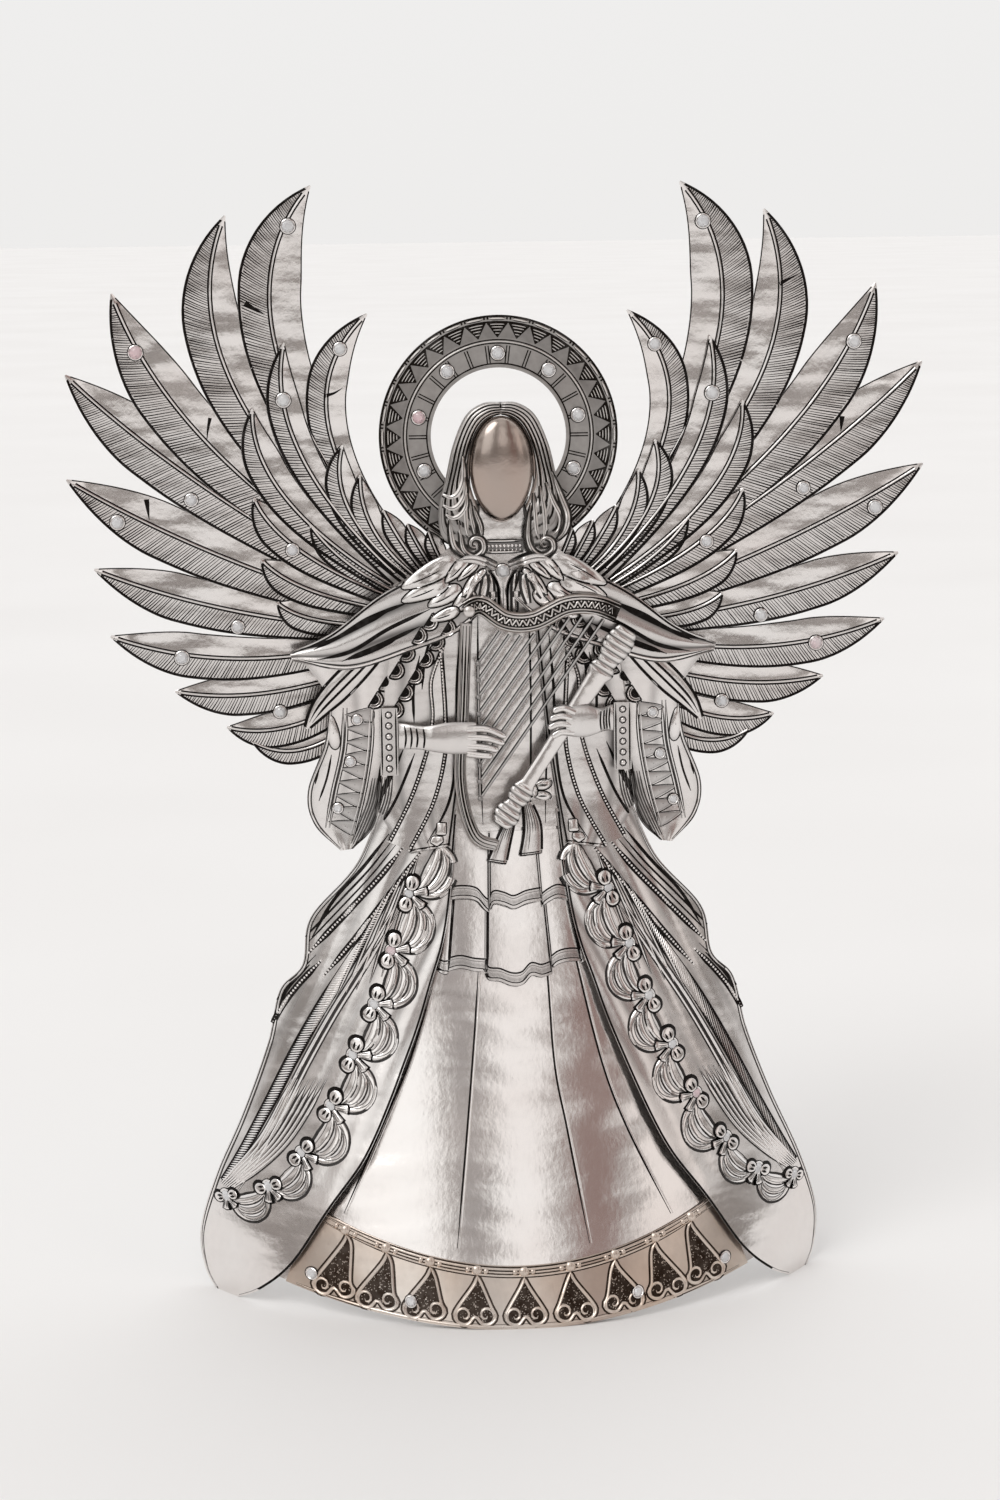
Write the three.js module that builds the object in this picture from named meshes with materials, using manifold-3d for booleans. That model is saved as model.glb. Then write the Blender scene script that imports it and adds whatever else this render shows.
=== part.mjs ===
// Angel tree topper of embossed sheet metal, in millimetres, +Z up, front towards -Y.
// The sheets lie on one rounded body surface, and each layer stands one pitch in front of the last.
import * as THREE from 'three';
import { mergeVertices } from 'three/addons/utils/BufferGeometryUtils.js';
import Module from 'manifold-3d';

const wasm = await Module();
wasm.setup();

// Overall sizes
const height = 326; // hem to the highest wing tips
const reach = 127; // middle of the figure to the outermost wing tips
const hemDepth = 60; // hem's middle in front of the wing plane
const bodyTurn = 1.05; // angle that the body's cross-section turns through on each side, in radians

// Sheet and clearances
const sheet = 0.8;
const relief = 0.3; // the most that folds, quills and rims stand proud of a sheet
const seam = 0.3; // clearance between neighbouring pieces
const pitch = sheet + relief + seam;

// Layers, counted in pitches from the wing plane towards the front
const spineLayer = -2;
const haloLayer = -1;
const wingLayer = 0;
const covertLayer = 1;
const bodiceLayer = 2;
const headLayer = 3;
const cloakLayer = 3;
const robeLayer = 4;
const sleeveLayer = 5;
const capeLayer = 6;
const harpLayer = 7;
const pillarLayer = 8;
const handLayer = 9;

// Body surface: [share of the height, share of the hem's depth or of the reach]
const bodyDepthShares = [
  [0, 1], [0.11, 0.75], [0.22, 0.51], [0.33, 0.31], [0.4, 0.19], [0.46, 0.13], [0.58, 0.1],
  [0.66, 0.08], [0.72, 0.04], [0.8, 0.02], [1, 0.02],
];
const bodyWidthShares = [
  [0, 0.775], [0.06, 0.765], [0.11, 0.73], [0.163, 0.67], [0.22, 0.615], [0.28, 0.58], [0.34, 0.525],
  [0.4, 0.49], [0.46, 0.49], [0.58, 0.53], [0.66, 0.48], [0.72, 0.36], [1, 0.32],
];

// Wings: each feather has its tip, bend and root as [share of the reach, share of the height]
// and the widths of its outer and inner vane as shares of the reach
const feathers = [
  { shares: [[0.3, 0.887], [0.535, 0.803], [0.205, 0.66]], outerShare: 0.046, innerShare: 0.044 },
  { shares: [[0.423, 1], [0.69, 0.885], [0.236, 0.664]], outerShare: 0.071, innerShare: 0.071 },
  { shares: [[0.618, 0.975], [0.785, 0.83], [0.236, 0.653]], outerShare: 0.068, innerShare: 0.063 },
  { shares: [[0.88, 0.908], [0.757, 0.764], [0.252, 0.644]], outerShare: 0.074, innerShare: 0.063 },
  { shares: [[0.991, 0.837], [0.74, 0.738], [0.268, 0.632]], outerShare: 0.071, innerShare: 0.068 },
  { shares: [[0.997, 0.744], [0.683, 0.668], [0.283, 0.62]], outerShare: 0.066, innerShare: 0.063 },
  { shares: [[0.941, 0.663], [0.656, 0.615], [0.3, 0.604]], outerShare: 0.055, innerShare: 0.055 },
  { shares: [[0.909, 0.602], [0.64, 0.561], [0.3, 0.592]], outerShare: 0.052, innerShare: 0.052 },
  { shares: [[0.764, 0.55], [0.547, 0.533], [0.283, 0.574]], outerShare: 0.047, innerShare: 0.047 },
  { shares: [[0.646, 0.516], [0.488, 0.498], [0.276, 0.56]], outerShare: 0.043, innerShare: 0.039 },
  { shares: [[0.59, 0.503], [0.457, 0.469], [0.276, 0.545]], outerShare: 0.031, innerShare: 0.031 },
];
const coverts = [
  { shares: [[0.491, 0.863], [0.551, 0.767], [0.236, 0.65]], outerShare: 0.039, innerShare: 0.039 },
  { shares: [[0.567, 0.805], [0.583, 0.724], [0.244, 0.641]], outerShare: 0.043, innerShare: 0.043 },
  { shares: [[0.569, 0.725], [0.52, 0.675], [0.252, 0.632]], outerShare: 0.043, innerShare: 0.043 },
  { shares: [[0.555, 0.669], [0.488, 0.638], [0.26, 0.62]], outerShare: 0.039, innerShare: 0.039 },
  { shares: [[0.522, 0.63], [0.457, 0.607], [0.268, 0.607]], outerShare: 0.036, innerShare: 0.036 },
  { shares: [[0.362, 0.771], [0.409, 0.712], [0.213, 0.65]], outerShare: 0.036, innerShare: 0.036 },
  { shares: [[0.323, 0.744], [0.331, 0.693], [0.197, 0.65]], outerShare: 0.031, innerShare: 0.031 },
  { shares: [[0.441, 0.7], [0.378, 0.663], [0.236, 0.635]], outerShare: 0.031, innerShare: 0.031 },
  { shares: [[0.272, 0.712], [0.236, 0.682], [0.17, 0.65]], outerShare: 0.025, innerShare: 0.025 },
  { shares: [[0.217, 0.699], [0.189, 0.675], [0.145, 0.65]], outerShare: 0.024, innerShare: 0.024 },
  { shares: [[0.168, 0.692], [0.15, 0.672], [0.12, 0.65]], outerShare: 0.022, innerShare: 0.022 },
];
const tipShare = 0.002; // half of a feather's blunt point, as a share of the reach
const wingAspectShare = 0.39; // reach of a well-shaped wing as a share of the height
const rootWidthShare = 0.6; // a vane's width at the root as a share of its full width
const fullWidthShare = 0.6; // how far along the feather the vane is full width
const taperStartShare = 0.68; // where the vane starts to narrow to its point
const taperPower = 1.7; // higher keeps the vane full for longer before its point

// Halo
const haloLift = 9; // halo's centre above the middle of the face
const haloRadius = 35.3;
const haloBore = 0.5666 * haloRadius;
const haloRim = 2; // width of the raised rims
const haloBand = 0.776 * haloRadius; // radius of the ridge between the outer and the inner band

// Head and neck
const headRise = 0.7485 * height; // middle of the face above the hem
const faceHalfWidth = 9.2;
const faceHalfHeight = 15.5;
const faceThick = 6;
const faceDomeShares = [
  [0, 0], [1, 0], [1, 0.3], [0.93, 0.55], [0.78, 0.78], [0.5, 0.94], [0.22, 0.99], [0, 1],
];
const hairThick = 3;
const hairEdgeShare = 0.15; // how far into the swell of the hair its edges lie
const hairShares = [
  [-1.035, -1.483], [-1.52, -1.44], [-1.935, -1.23], [-2.015, -0.767], [-1.77, -0.178], [-1.52, 0.453],
  [-1.105, 1], [-0.55, 1.23], [0, 1.25],
]; // outline as shares of the face's half width and half height, from the middle of the face
const hairStartTurn = -0.75; // where the hair meets the cheek, in radians below the face's side
const collarHalfWidth = 6.2;
const collarDrop = 24.5; // collar's foot below the middle of the face
const collarHeight = 4;

// Torso plate under the robe: [share of the height, share of the reach]
const bodiceSeat = 1; // clearance between the plate's foot and the upper tier
const bodiceLift = 12; // top of the tab behind the head above the middle of the face
const bodiceShares = [
  [0.423, 0.16], [0.46, 0.2], [0.506, 0.235], [0.567, 0.29], [0.613, 0.3], [0.644, 0.25],
  [0.663, 0.14], [0.678, 0.06], [0.7, 0.05], [0.736, 0.055], [0.785, 0.05],
];

// Clothing edges as [share of the reach, share of the height], from the top down
const capeTopShares = [[0.055, 0.672], [0.15, 0.664], [0.28, 0.64], [0.4, 0.605], [0.497, 0.588]];
const capeFootShares = [[0.02, 0.635], [0.11, 0.605], [0.22, 0.588], [0.36, 0.572], [0.49, 0.58]];
const robeInnerShares = [[0.07, 0.625], [0.095, 0.52], [0.115, 0.46], [0.135, 0.41]];
const robeOuterShares = [[0.3, 0.6], [0.32, 0.52], [0.31, 0.45], [0.23, 0.404]];
const sleeveInnerShares = [
  [0.265, 0.585], [0.283, 0.54], [0.287, 0.49], [0.295, 0.46], [0.31, 0.43], [0.36, 0.408],
];
const sleeveOuterShares = [
  [0.475, 0.583], [0.41, 0.545], [0.42, 0.505], [0.462, 0.46], [0.45, 0.43], [0.39, 0.406],
];
const cloakInnerShares = [
  [0.116, 0.44], [0.137, 0.366], [0.157, 0.326], [0.187, 0.291], [0.233, 0.24], [0.338, 0.148],
  [0.44, 0.092], [0.525, 0.043], [0.6, 0.014], [0.655, 0],
];
const cloakOuterShares = [
  [0.3, 0.44], [0.354, 0.392], [0.463, 0.342], [0.485, 0.3], [0.54, 0.274], [0.571, 0.225],
  [0.631, 0.163], [0.7, 0.103], [0.742, 0.05], [0.735, 0.016], [0.71, 0],
];
const cuffInner = 32; // a cuff's inner edge from the middle
const cuffWidth = 5.2;
const cuffFoot = 0.4755 * height;
const cuffHeight = 20;

// Hands: [share of the length, share of the half width] from the wrist to the finger tips
const handShares = [[0, 0.85], [0.2, 0.75], [0.45, 1], [0.7, 0.95], [0.9, 0.6], [1, 0.2]];
const handHalfWidth = 4.6;
const leftHandLength = 33;
const rightHandLength = 18.5;
const leftHandLift = 11.5; // middle of the hand above the cuff's foot
const rightHandLift = 15.5;
const wristShare = 0.3; // how far along the hand it has risen to its own layer

// Harp: outlines as [share of the reach, share of the height]
const harpNeckShares = [
  [-0.09, 0.624], [-0.055, 0.629], [0, 0.615], [0.065, 0.614], [0.142, 0.627], [0.21, 0.627], [0.262, 0.619],
];
const harpNeckWidth = 5.6;
const harpBodyShares = [[-0.09, 0.613], [-0.1, 0.536], [-0.109, 0.469], [-0.081, 0.423], [-0.03, 0.412]];
const harpBodyWidth = 3.4;
const harpBarThick = 2.2;
const pillarTopShare = [0.285, 0.604];
const pillarFootShare = [-0.02, 0.43];
const pillarHalfWidth = 2.5;
const pillarShares = [
  [0, 0.9], [0.04, 1.5], [0.08, 1.4], [0.11, 1], [0.14, 1.3], [0.18, 1.3], [0.22, 0.9],
  [0.75, 1.2], [0.79, 1.6], [0.83, 1.2], [0.88, 1.6], [0.94, 1.7], [1, 1.2],
];
const stringCount = 9;
const stringWidth = 0.8;
const stringRail = -8.2; // middle of the rail that the strings rise from
const stringRailWidth = 1.2;
const stringEnd = 1.1; // clearance between a string's end and the neck
const stringFoot = 0.454 * height;
const stringPitch = 0.01534 * height; // from the foot of one string up to the next
const stringSlope = 0.72; // sideways run of a string for each unit of its rise

// Skirt and its tiers
const skirtTop = 0.46 * height;
const skirtHalfShares = [
  [0, 0.56], [0.043, 0.56], [0.11, 0.45], [0.2, 0.34], [0.3, 0.22], [0.38, 0.17], [0.46, 0.14],
];
const hemRise = 8; // the hem lifts this much towards its ends
const hemFlat = 8; // half the length of the hem's level stretch
const hemPower = 1.6; // how late the hem lifts on its way to the ends
const borderRise = 16.5;
const borderLift = 9.7; // the border's top line lifts this much at its reference point
const borderPoint = 51.4;
const borderRimShare = 0.3; // the raised rim along the top takes this much of the border's height
const borderTopHalf = 60;
const borderFootHalf = 69;
const waistTop = 0.457 * height;
const waistHeight = 18;
const waistHalf = 15;
const waistFoot = waistTop - waistHeight;
const lowerTier = { drop: 9, length: 25, half: 21, waves: 5, wave: 2 }; // drop below the waist band's foot
const upperTier = { drop: -6, length: 19, half: 17.5, waves: 4, wave: 1.5 };
const sashLift = 4; // middle of the bow above the waist band
const sashOffset = 9;
const sashHalfWidth = 5;
const sashHalfHeight = 3.6;
const sashTailLength = 17;
const sashTailWidth = 4.4;
const sashDrift = 2; // how far the tails swing towards the middle
const sashWaistShare = 0.45; // the bow's pinched middle as a share of its full height
const tierTopShare = 0.85; // a tier's width at its gathers as a share of its foot

// Tree socket and the strips behind the figure
const coneFoot = 0;
const coneTop = 0.362 * height;
const coneMouth = 20; // outer radius at the foot
const coneTip = 6.5; // outer radius at the top
const coneWall = 1;
const spineHalf = 7;
const spineFoot = 0.19 * height;
const spineTop = 0.7086 * height;
const barHalf = 42;
const barFoot = 0.592 * height;
const barHeight = 12;
const spacerRadius = 3;
const spacerOffset = 13;
const rivetRadius = 2.2;
const rivetHead = 1.2;
const rivetDomeShares = [[0, 0], [1, 0], [0.8, 0.6], [0.4, 0.95], [0, 1]];
const rivetSeat = 0.1; // clearance under a rivet's head
const rivetShares = [[0, 0.22], [0, 0.32], [-0.0276, 0.61], [0.0276, 0.61]];

// Crystals
const gemRadius = 2;
const gemHeight = 1.5;
const gemTable = 1.1;
const gemGirdle = 0.5;
const haloGemRadius = 0.6856 * haloRadius; // radius of the circle that the halo's crystals stand on
const haloGemTurn = 0.665; // angle from one halo crystal to the next, in radians
const haloGemCount = 7;
const collarGemDrop = 30; // below the middle of the face
const wingGems = [
  { shares: [0.476, 0.965], layer: wingLayer },
  { shares: [0.83, 0.856], layer: wingLayer },
  { shares: [0.884, 0.705], layer: wingLayer },
  { shares: [0.746, 0.581], layer: wingLayer },
  { shares: [0.496, 0.812], layer: covertLayer },
];

// How finely the curved sheets are divided
const fineCount = 18;
const mediumCount = 10;
const coarseCount = 6;

const silver = { color: 0xc9c6c4, roughness: 0.25, metalness: 1 };
const darkSilver = { color: 0x6f6c6b, roughness: 0.45, metalness: 1 };
const crystal = { color: 0xf4f6fb, roughness: 0.05, metalness: 0 };

const group = new THREE.Group();

function addPart(name, geometry, finish) {
  const mesh = new THREE.Mesh(geometry, new THREE.MeshStandardMaterial(finish));
  mesh.name = name;
  group.add(mesh);
  return mesh;
}

// Smooth curve through a table of [place, value] pairs
function follow(table, place) {
  const last = table.length - 1;
  const at = THREE.MathUtils.clamp(place, table[0][0], table[last][0]);
  let i = 0;
  while (i < last - 1 && at > table[i + 1][0]) i += 1;
  const slope = (k) => {
    const before = table[Math.max(k - 1, 0)];
    const after = table[Math.min(k + 1, last)];
    return (after[1] - before[1]) / (after[0] - before[0]);
  };
  const span = table[i + 1][0] - table[i][0];
  const t = (at - table[i][0]) / span;
  const rise = table[i + 1][1] - table[i][1];
  const start = slope(i) * span;
  const end = slope(i + 1) * span;
  return table[i][1] + t * (start + t * (3 * rise - 2 * start - end + t * (start + end - 2 * rise)));
}

function bodyDepth(x, z) {
  const level = z / height;
  const half = reach * follow(bodyWidthShares, level);
  const across = Math.min(Math.abs(x) / half, 1) * Math.sin(bodyTurn);
  const edge = Math.cos(bodyTurn);
  const arch = (Math.sqrt(1 - across ** 2) - edge) / (1 - edge);
  return hemDepth * follow(bodyDepthShares, level) * arch;
}

function flatDepth() {
  return 0;
}

// Turns a list of triangles into a geometry whose faces point out
function closedGeometry(points, triangles) {
  const corner = (k) => new THREE.Vector3(...points[k]);
  let volume = 0;
  for (const [a, b, c] of triangles) volume += corner(a).dot(corner(b).cross(corner(c)));
  const index = [];
  for (const [a, b, c] of triangles) {
    if (volume > 0) index.push(a, b, c);
    else index.push(a, c, b);
  }
  const geometry = new THREE.BufferGeometry();
  geometry.setAttribute('position', new THREE.Float32BufferAttribute(points.flat(), 3));
  geometry.setIndex(index);
  return geometry;
}

// Closed sheet over a grid of places [x, z]: its back lies one layer in front of the surface
function sheetPatch({ columns, rows, place, layer, surface = bodyDepth, thick = () => sheet, rise = flatDepth }) {
  const points = [];
  const triangles = [];
  const corner = (face, i, j) => (face * (rows + 1) + j) * (columns + 1) + i;
  for (let face = 0; face < 2; face += 1) {
    for (let j = 0; j <= rows; j += 1) {
      for (let i = 0; i <= columns; i += 1) {
        const u = i / columns;
        const v = j / rows;
        const [x, z] = place(u, v);
        const back = surface(x, z) + layer * pitch + rise(u, v);
        points.push([x, -(back + face * thick(u, v)), z]);
      }
    }
  }
  const quad = (a, b, c, d) => triangles.push([a, b, c], [a, c, d]);
  for (let j = 0; j < rows; j += 1) {
    for (let i = 0; i < columns; i += 1) {
      quad(corner(0, i, j), corner(0, i + 1, j), corner(0, i + 1, j + 1), corner(0, i, j + 1));
      quad(corner(1, i, j), corner(1, i, j + 1), corner(1, i + 1, j + 1), corner(1, i + 1, j));
    }
  }
  for (let i = 0; i < columns; i += 1) {
    quad(corner(0, i, 0), corner(1, i, 0), corner(1, i + 1, 0), corner(0, i + 1, 0));
    quad(corner(0, i + 1, rows), corner(1, i + 1, rows), corner(1, i, rows), corner(0, i, rows));
  }
  for (let j = 0; j < rows; j += 1) {
    quad(corner(0, 0, j + 1), corner(1, 0, j + 1), corner(1, 0, j), corner(0, 0, j));
    quad(corner(0, columns, j), corner(1, columns, j), corner(1, columns, j + 1), corner(0, columns, j + 1));
  }
  return closedGeometry(points, triangles);
}

function mirrored(geometry) {
  const position = geometry.getAttribute('position');
  const points = [];
  for (let k = 0; k < position.count; k += 1) {
    points.push([-position.getX(k), position.getY(k), position.getZ(k)]);
  }
  const index = Array.from(geometry.getIndex().array);
  const triangles = [];
  for (let k = 0; k < index.length; k += 3) triangles.push([index[k], index[k + 1], index[k + 2]]);
  return closedGeometry(points, triangles);
}

function addPair(name, geometry, finish) {
  addPart(`${name}_right`, geometry, finish);
  addPart(`${name}_left`, mirrored(geometry), finish);
}

function solidOf(geometry) {
  const bare = geometry.clone();
  bare.deleteAttribute('normal');
  bare.deleteAttribute('uv');
  const merged = mergeVertices(bare);
  const vertProperties = new Float32Array(merged.getAttribute('position').array);
  const triVerts = new Uint32Array(merged.getIndex().array);
  return new wasm.Manifold(new wasm.Mesh({ numProp: 3, vertProperties, triVerts }));
}

function joined(geometries) {
  const whole = geometries.map(solidOf).reduce((sum, solid) => sum.add(solid));
  const mesh = whole.getMesh();
  const geometry = new THREE.BufferGeometry();
  geometry.setAttribute('position', new THREE.BufferAttribute(new Float32Array(mesh.vertProperties), 3));
  geometry.setIndex(Array.from(mesh.triVerts));
  return geometry;
}

// Edge curve through shares of the reach and the height
function edgeCurve(shares) {
  return new THREE.SplineCurve(shares.map(([x, z]) => new THREE.Vector2(x * reach, z * height)));
}

function between(innerShares, outerShares) {
  const inner = edgeCurve(innerShares);
  const outer = edgeCurve(outerShares);
  return (u, v) => {
    const place = inner.getPoint(v).lerp(outer.getPoint(v), u);
    return [place.x, Math.max(place.y, 0)];
  };
}

// One feather: a quill with a vane on each side, thickest along the quill
function featherGeometry({ shares, outerShare, innerShare }, steps, layer) {
  const [tip, bend, root] = shares.map(([x, z]) => new THREE.Vector2(x, z / wingAspectShare));
  const quill = new THREE.QuadraticBezierCurve(root, bend, tip);
  const widthAt = (full, s) => {
    const grow = THREE.MathUtils.smoothstep(s, 0, fullWidthShare);
    const taper = 1 - (Math.max(s - taperStartShare, 0) / (1 - taperStartShare)) ** taperPower;
    return full * (rootWidthShare + (1 - rootWidthShare) * grow) * taper + tipShare;
  };
  return sheetPatch({
    columns: 4,
    rows: steps,
    layer,
    surface: flatDepth,
    place: (u, v) => {
      const at = quill.getPoint(v);
      const along = quill.getTangent(v);
      const side = u * 2 - 1;
      const width = side * widthAt(side > 0 ? outerShare : innerShare, v);
      return [(at.x + along.y * width) * reach, (at.y - along.x * width) * wingAspectShare * height];
    },
    thick: (u) => sheet + relief * Math.max(1 - 2 * Math.abs(u * 2 - 1), 0),
  });
}

function addWings() {
  addPair('wing', joined(feathers.map((feather) => featherGeometry(feather, mediumCount - 2, wingLayer))), silver);
  addPair('coverts', joined(coverts.map((feather) => featherGeometry(feather, coarseCount, covertLayer))), silver);
}

// Ring turned about the axis that points to the front
function addHalo() {
  const rim = sheet + relief;
  const profile = [
    [haloBore, 0], [haloRadius, 0], [haloRadius, rim], [haloRadius - haloRim, rim],
    [haloRadius - haloRim, sheet], [haloBand + haloRim / 2, sheet], [haloBand, rim],
    [haloBand - haloRim / 2, sheet], [haloBore + haloRim, sheet], [haloBore + haloRim, rim],
    [haloBore, rim], [haloBore, 0],
  ];
  const geometry = new THREE.LatheGeometry(profile.map(([r, y]) => new THREE.Vector2(r, y)), 2 * fineCount);
  const mesh = addPart('halo', geometry, silver);
  mesh.rotation.x = Math.PI;
  mesh.position.set(0, -haloLayer * pitch, headRise + haloLift);
}

function addHead() {
  const geometry = new THREE.LatheGeometry(faceDomeShares.map(([r, y]) => new THREE.Vector2(r, y)), 32);
  const face = addPart('face', geometry, silver);
  face.scale.set(faceHalfWidth, faceThick, faceHalfHeight);
  face.rotation.x = Math.PI;
  face.position.set(0, -(bodyDepth(0, headRise - faceHalfHeight) + headLayer * pitch), headRise);

  const outline = [...hairShares, ...hairShares.slice(0, -1).reverse().map(([x, z]) => [-x, z])];
  const outer = new THREE.SplineCurve(outline.map(
    ([x, z]) => new THREE.Vector2(x * faceHalfWidth, headRise + z * faceHalfHeight),
  ));
  addPart('hair', sheetPatch({
    columns: 3,
    rows: fineCount,
    layer: headLayer,
    place: (u, v) => {
      const turn = Math.PI - hairStartTurn - v * (Math.PI - 2 * hairStartTurn);
      const cheek = new THREE.Vector2(
        (faceHalfWidth + seam) * Math.cos(turn),
        headRise + (faceHalfHeight + seam) * Math.sin(turn),
      );
      const place = cheek.lerp(outer.getPoint(v), u);
      return [place.x, place.y];
    },
    thick: (u) => sheet + hairThick * Math.sin(Math.PI * THREE.MathUtils.lerp(hairEdgeShare, 1 - hairEdgeShare, u)),
  }), darkSilver);

  addPart('collar', sheetPatch({
    columns: 8,
    rows: 1,
    layer: headLayer,
    place: (u, v) => [(u * 2 - 1) * collarHalfWidth, headRise - collarDrop + v * collarHeight],
    thick: () => sheet + relief,
  }), silver);
}

function addBodice() {
  addPart('bodice', sheetPatch({
    columns: coarseCount,
    rows: mediumCount,
    layer: bodiceLayer,
    place: (u, v) => {
      const foot = waistFoot - upperTier.drop + bodiceSeat;
      const z = THREE.MathUtils.lerp(foot, headRise + bodiceLift, v);
      return [(u * 2 - 1) * reach * follow(bodiceShares, z / height), z];
    },
  }), silver);
}

// Sheet between two edges whose folds run from the top to the foot
function drapedSheet(innerShares, outerShares, folds, layer, columns, rows) {
  return sheetPatch({
    columns,
    rows,
    layer,
    place: between(innerShares, outerShares),
    thick: (u) => sheet + relief * Math.sin(Math.PI * folds * u) ** 2,
  });
}

function addClothing() {
  addPair('cape', drapedSheet(capeFootShares, capeTopShares, 2, capeLayer, 4, mediumCount), silver);
  addPair('robe_front', drapedSheet(robeInnerShares, robeOuterShares, 3, robeLayer, 6, mediumCount), silver);
  addPair('sleeve', drapedSheet(sleeveInnerShares, sleeveOuterShares, 2, sleeveLayer, 4, mediumCount), silver);
  addPair('cloak', drapedSheet(cloakInnerShares, cloakOuterShares, 4, cloakLayer, 8, fineCount), silver);
  addPair('cuff', sheetPatch({
    columns: 3,
    rows: 3,
    layer: capeLayer,
    place: (u, v) => [cuffInner + u * cuffWidth, cuffFoot + v * cuffHeight],
    thick: () => sheet + relief,
  }), silver);
}

// A hand lies over the harp: it leaves the cuff one layer lower than its finger tips
function handGeometry(length, riseAt, sideways) {
  return sheetPatch({
    columns: 4,
    rows: mediumCount,
    layer: handLayer,
    place: (u, v) => {
      const x = cuffInner - seam - v * length;
      const half = handHalfWidth * follow(handShares, v);
      return [sideways * x, riseAt + (u * 2 - 1) * half];
    },
    rise: (u, v) => (capeLayer - handLayer) * pitch * (1 - THREE.MathUtils.smoothstep(v, 0, wristShare)),
    thick: (u) => sheet + relief * Math.sin(Math.PI * u),
  });
}

function addHands() {
  addPart('hand_left', handGeometry(leftHandLength, cuffFoot + leftHandLift, -1), silver);
  addPart('hand_right', handGeometry(rightHandLength, cuffFoot + rightHandLift, 1), silver);
}

// Bar of even width along a curve, on the harp's layer
function barGeometry(shares, width, steps) {
  const curve = edgeCurve(shares);
  return sheetPatch({
    columns: 2,
    rows: steps,
    layer: harpLayer,
    place: (u, v) => {
      const at = curve.getPoint(v);
      const along = curve.getTangent(v);
      const offset = (u - 0.5) * width;
      return [at.x + along.y * offset, at.y - along.x * offset];
    },
    thick: (u) => (u === 0.5 ? harpBarThick : sheet),
  });
}

function addHarp() {
  addPart('harp_neck', barGeometry(harpNeckShares, harpNeckWidth, fineCount), darkSilver);
  addPart('harp_body', barGeometry(harpBodyShares, harpBodyWidth, mediumCount), darkSilver);

  const top = new THREE.Vector2(pillarTopShare[0] * reach, pillarTopShare[1] * height);
  const foot = new THREE.Vector2(pillarFootShare[0] * reach, pillarFootShare[1] * height);
  const along = top.clone().sub(foot).normalize();
  addPart('harp_pillar', sheetPatch({
    columns: 4,
    rows: fineCount,
    layer: pillarLayer,
    place: (u, v) => {
      const at = foot.clone().lerp(top, v);
      const offset = (u * 2 - 1) * pillarHalfWidth * follow(pillarShares, v);
      return [at.x + along.y * offset, at.y - along.x * offset];
    },
    thick: (u) => sheet + relief * Math.sin(Math.PI * u),
  }), silver);
}

// Straight strip between two places, with square ends
function stripGeometry(start, end, width, layer) {
  const from = new THREE.Vector2(...start);
  const to = new THREE.Vector2(...end);
  const along = to.clone().sub(from).normalize();
  return sheetPatch({
    columns: 1,
    rows: 4,
    layer,
    place: (u, v) => {
      const at = from.clone().lerp(to, v);
      const offset = (u - 0.5) * width;
      return [at.x + along.y * offset, at.y - along.x * offset];
    },
    thick: () => stringWidth,
  });
}

// Nine strings rise from one rail and stop just under the neck
function addStrings() {
  const railTop = stringFoot + (stringCount - 1) * stringPitch;
  const strips = [stripGeometry([stringRail, stringFoot - stringWidth], [stringRail, railTop + stringWidth],
    stringRailWidth, harpLayer)];
  for (let k = 0; k < stringCount; k += 1) {
    const low = stringFoot + k * stringPitch;
    let high = railTop;
    for (let step = 0; step < coarseCount; step += 1) {
      const x = stringRail + (high - low) * stringSlope;
      high = follow(harpNeckShares, x / reach) * height - harpNeckWidth / 2 - stringEnd;
    }
    const end = [stringRail + (high - low) * stringSlope, high];
    strips.push(stripGeometry([stringRail, low], end, stringWidth, harpLayer));
  }
  addPart('harp_strings', joined(strips), silver);
}

// The hem is level in the middle and lifts towards its ends
function hemLine(x) {
  const end = skirtHalfShares[0][1] * reach;
  return hemRise * (Math.max(Math.abs(x) - hemFlat, 0) / (end - hemFlat)) ** hemPower;
}

function addSkirt() {
  addPart('skirt', sheetPatch({
    columns: fineCount,
    rows: mediumCount,
    layer: wingLayer,
    place: (u, v) => {
      const level = skirtTop * (1 - v);
      const x = (u * 2 - 1) * reach * follow(skirtHalfShares, level / height);
      return [x, THREE.MathUtils.lerp(skirtTop, hemLine(x), v)];
    },
  }), silver);

  addPart('hem_border', sheetPatch({
    columns: fineCount,
    rows: 4,
    layer: covertLayer,
    place: (u, v) => {
      const x = (u * 2 - 1) * THREE.MathUtils.lerp(borderTopHalf, borderFootHalf, v);
      return [x, THREE.MathUtils.lerp(borderRise + borderLift * (x / borderPoint) ** 2, hemLine(x), v)];
    },
    thick: (u, v) => sheet + (v < borderRimShare ? relief : 0),
  }), darkSilver);

  addPart('waist_band', sheetPatch({
    columns: coarseCount,
    rows: 3,
    layer: covertLayer,
    place: (u, v) => [(u * 2 - 1) * waistHalf, THREE.MathUtils.lerp(waistTop, waistFoot, v)],
  }), silver);
}

// Gathered tier of the overskirt with a wavy foot
function tierGeometry({ drop, length, half, waves, wave }, layer) {
  const top = waistFoot - drop;
  return sheetPatch({
    columns: fineCount,
    rows: 4,
    layer,
    place: (u, v) => {
      const x = (u * 2 - 1) * half * THREE.MathUtils.lerp(tierTopShare, 1, v);
      return [x, THREE.MathUtils.lerp(top, top - length + wave * Math.cos(2 * Math.PI * waves * u), v)];
    },
    thick: (u, v) => sheet + relief * v * Math.sin(Math.PI * waves * u) ** 2,
  });
}

function addTiers() {
  addPart('lower_tier', tierGeometry(lowerTier, covertLayer), silver);
  addPart('upper_tier', tierGeometry(upperTier, bodiceLayer), silver);
}

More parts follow.
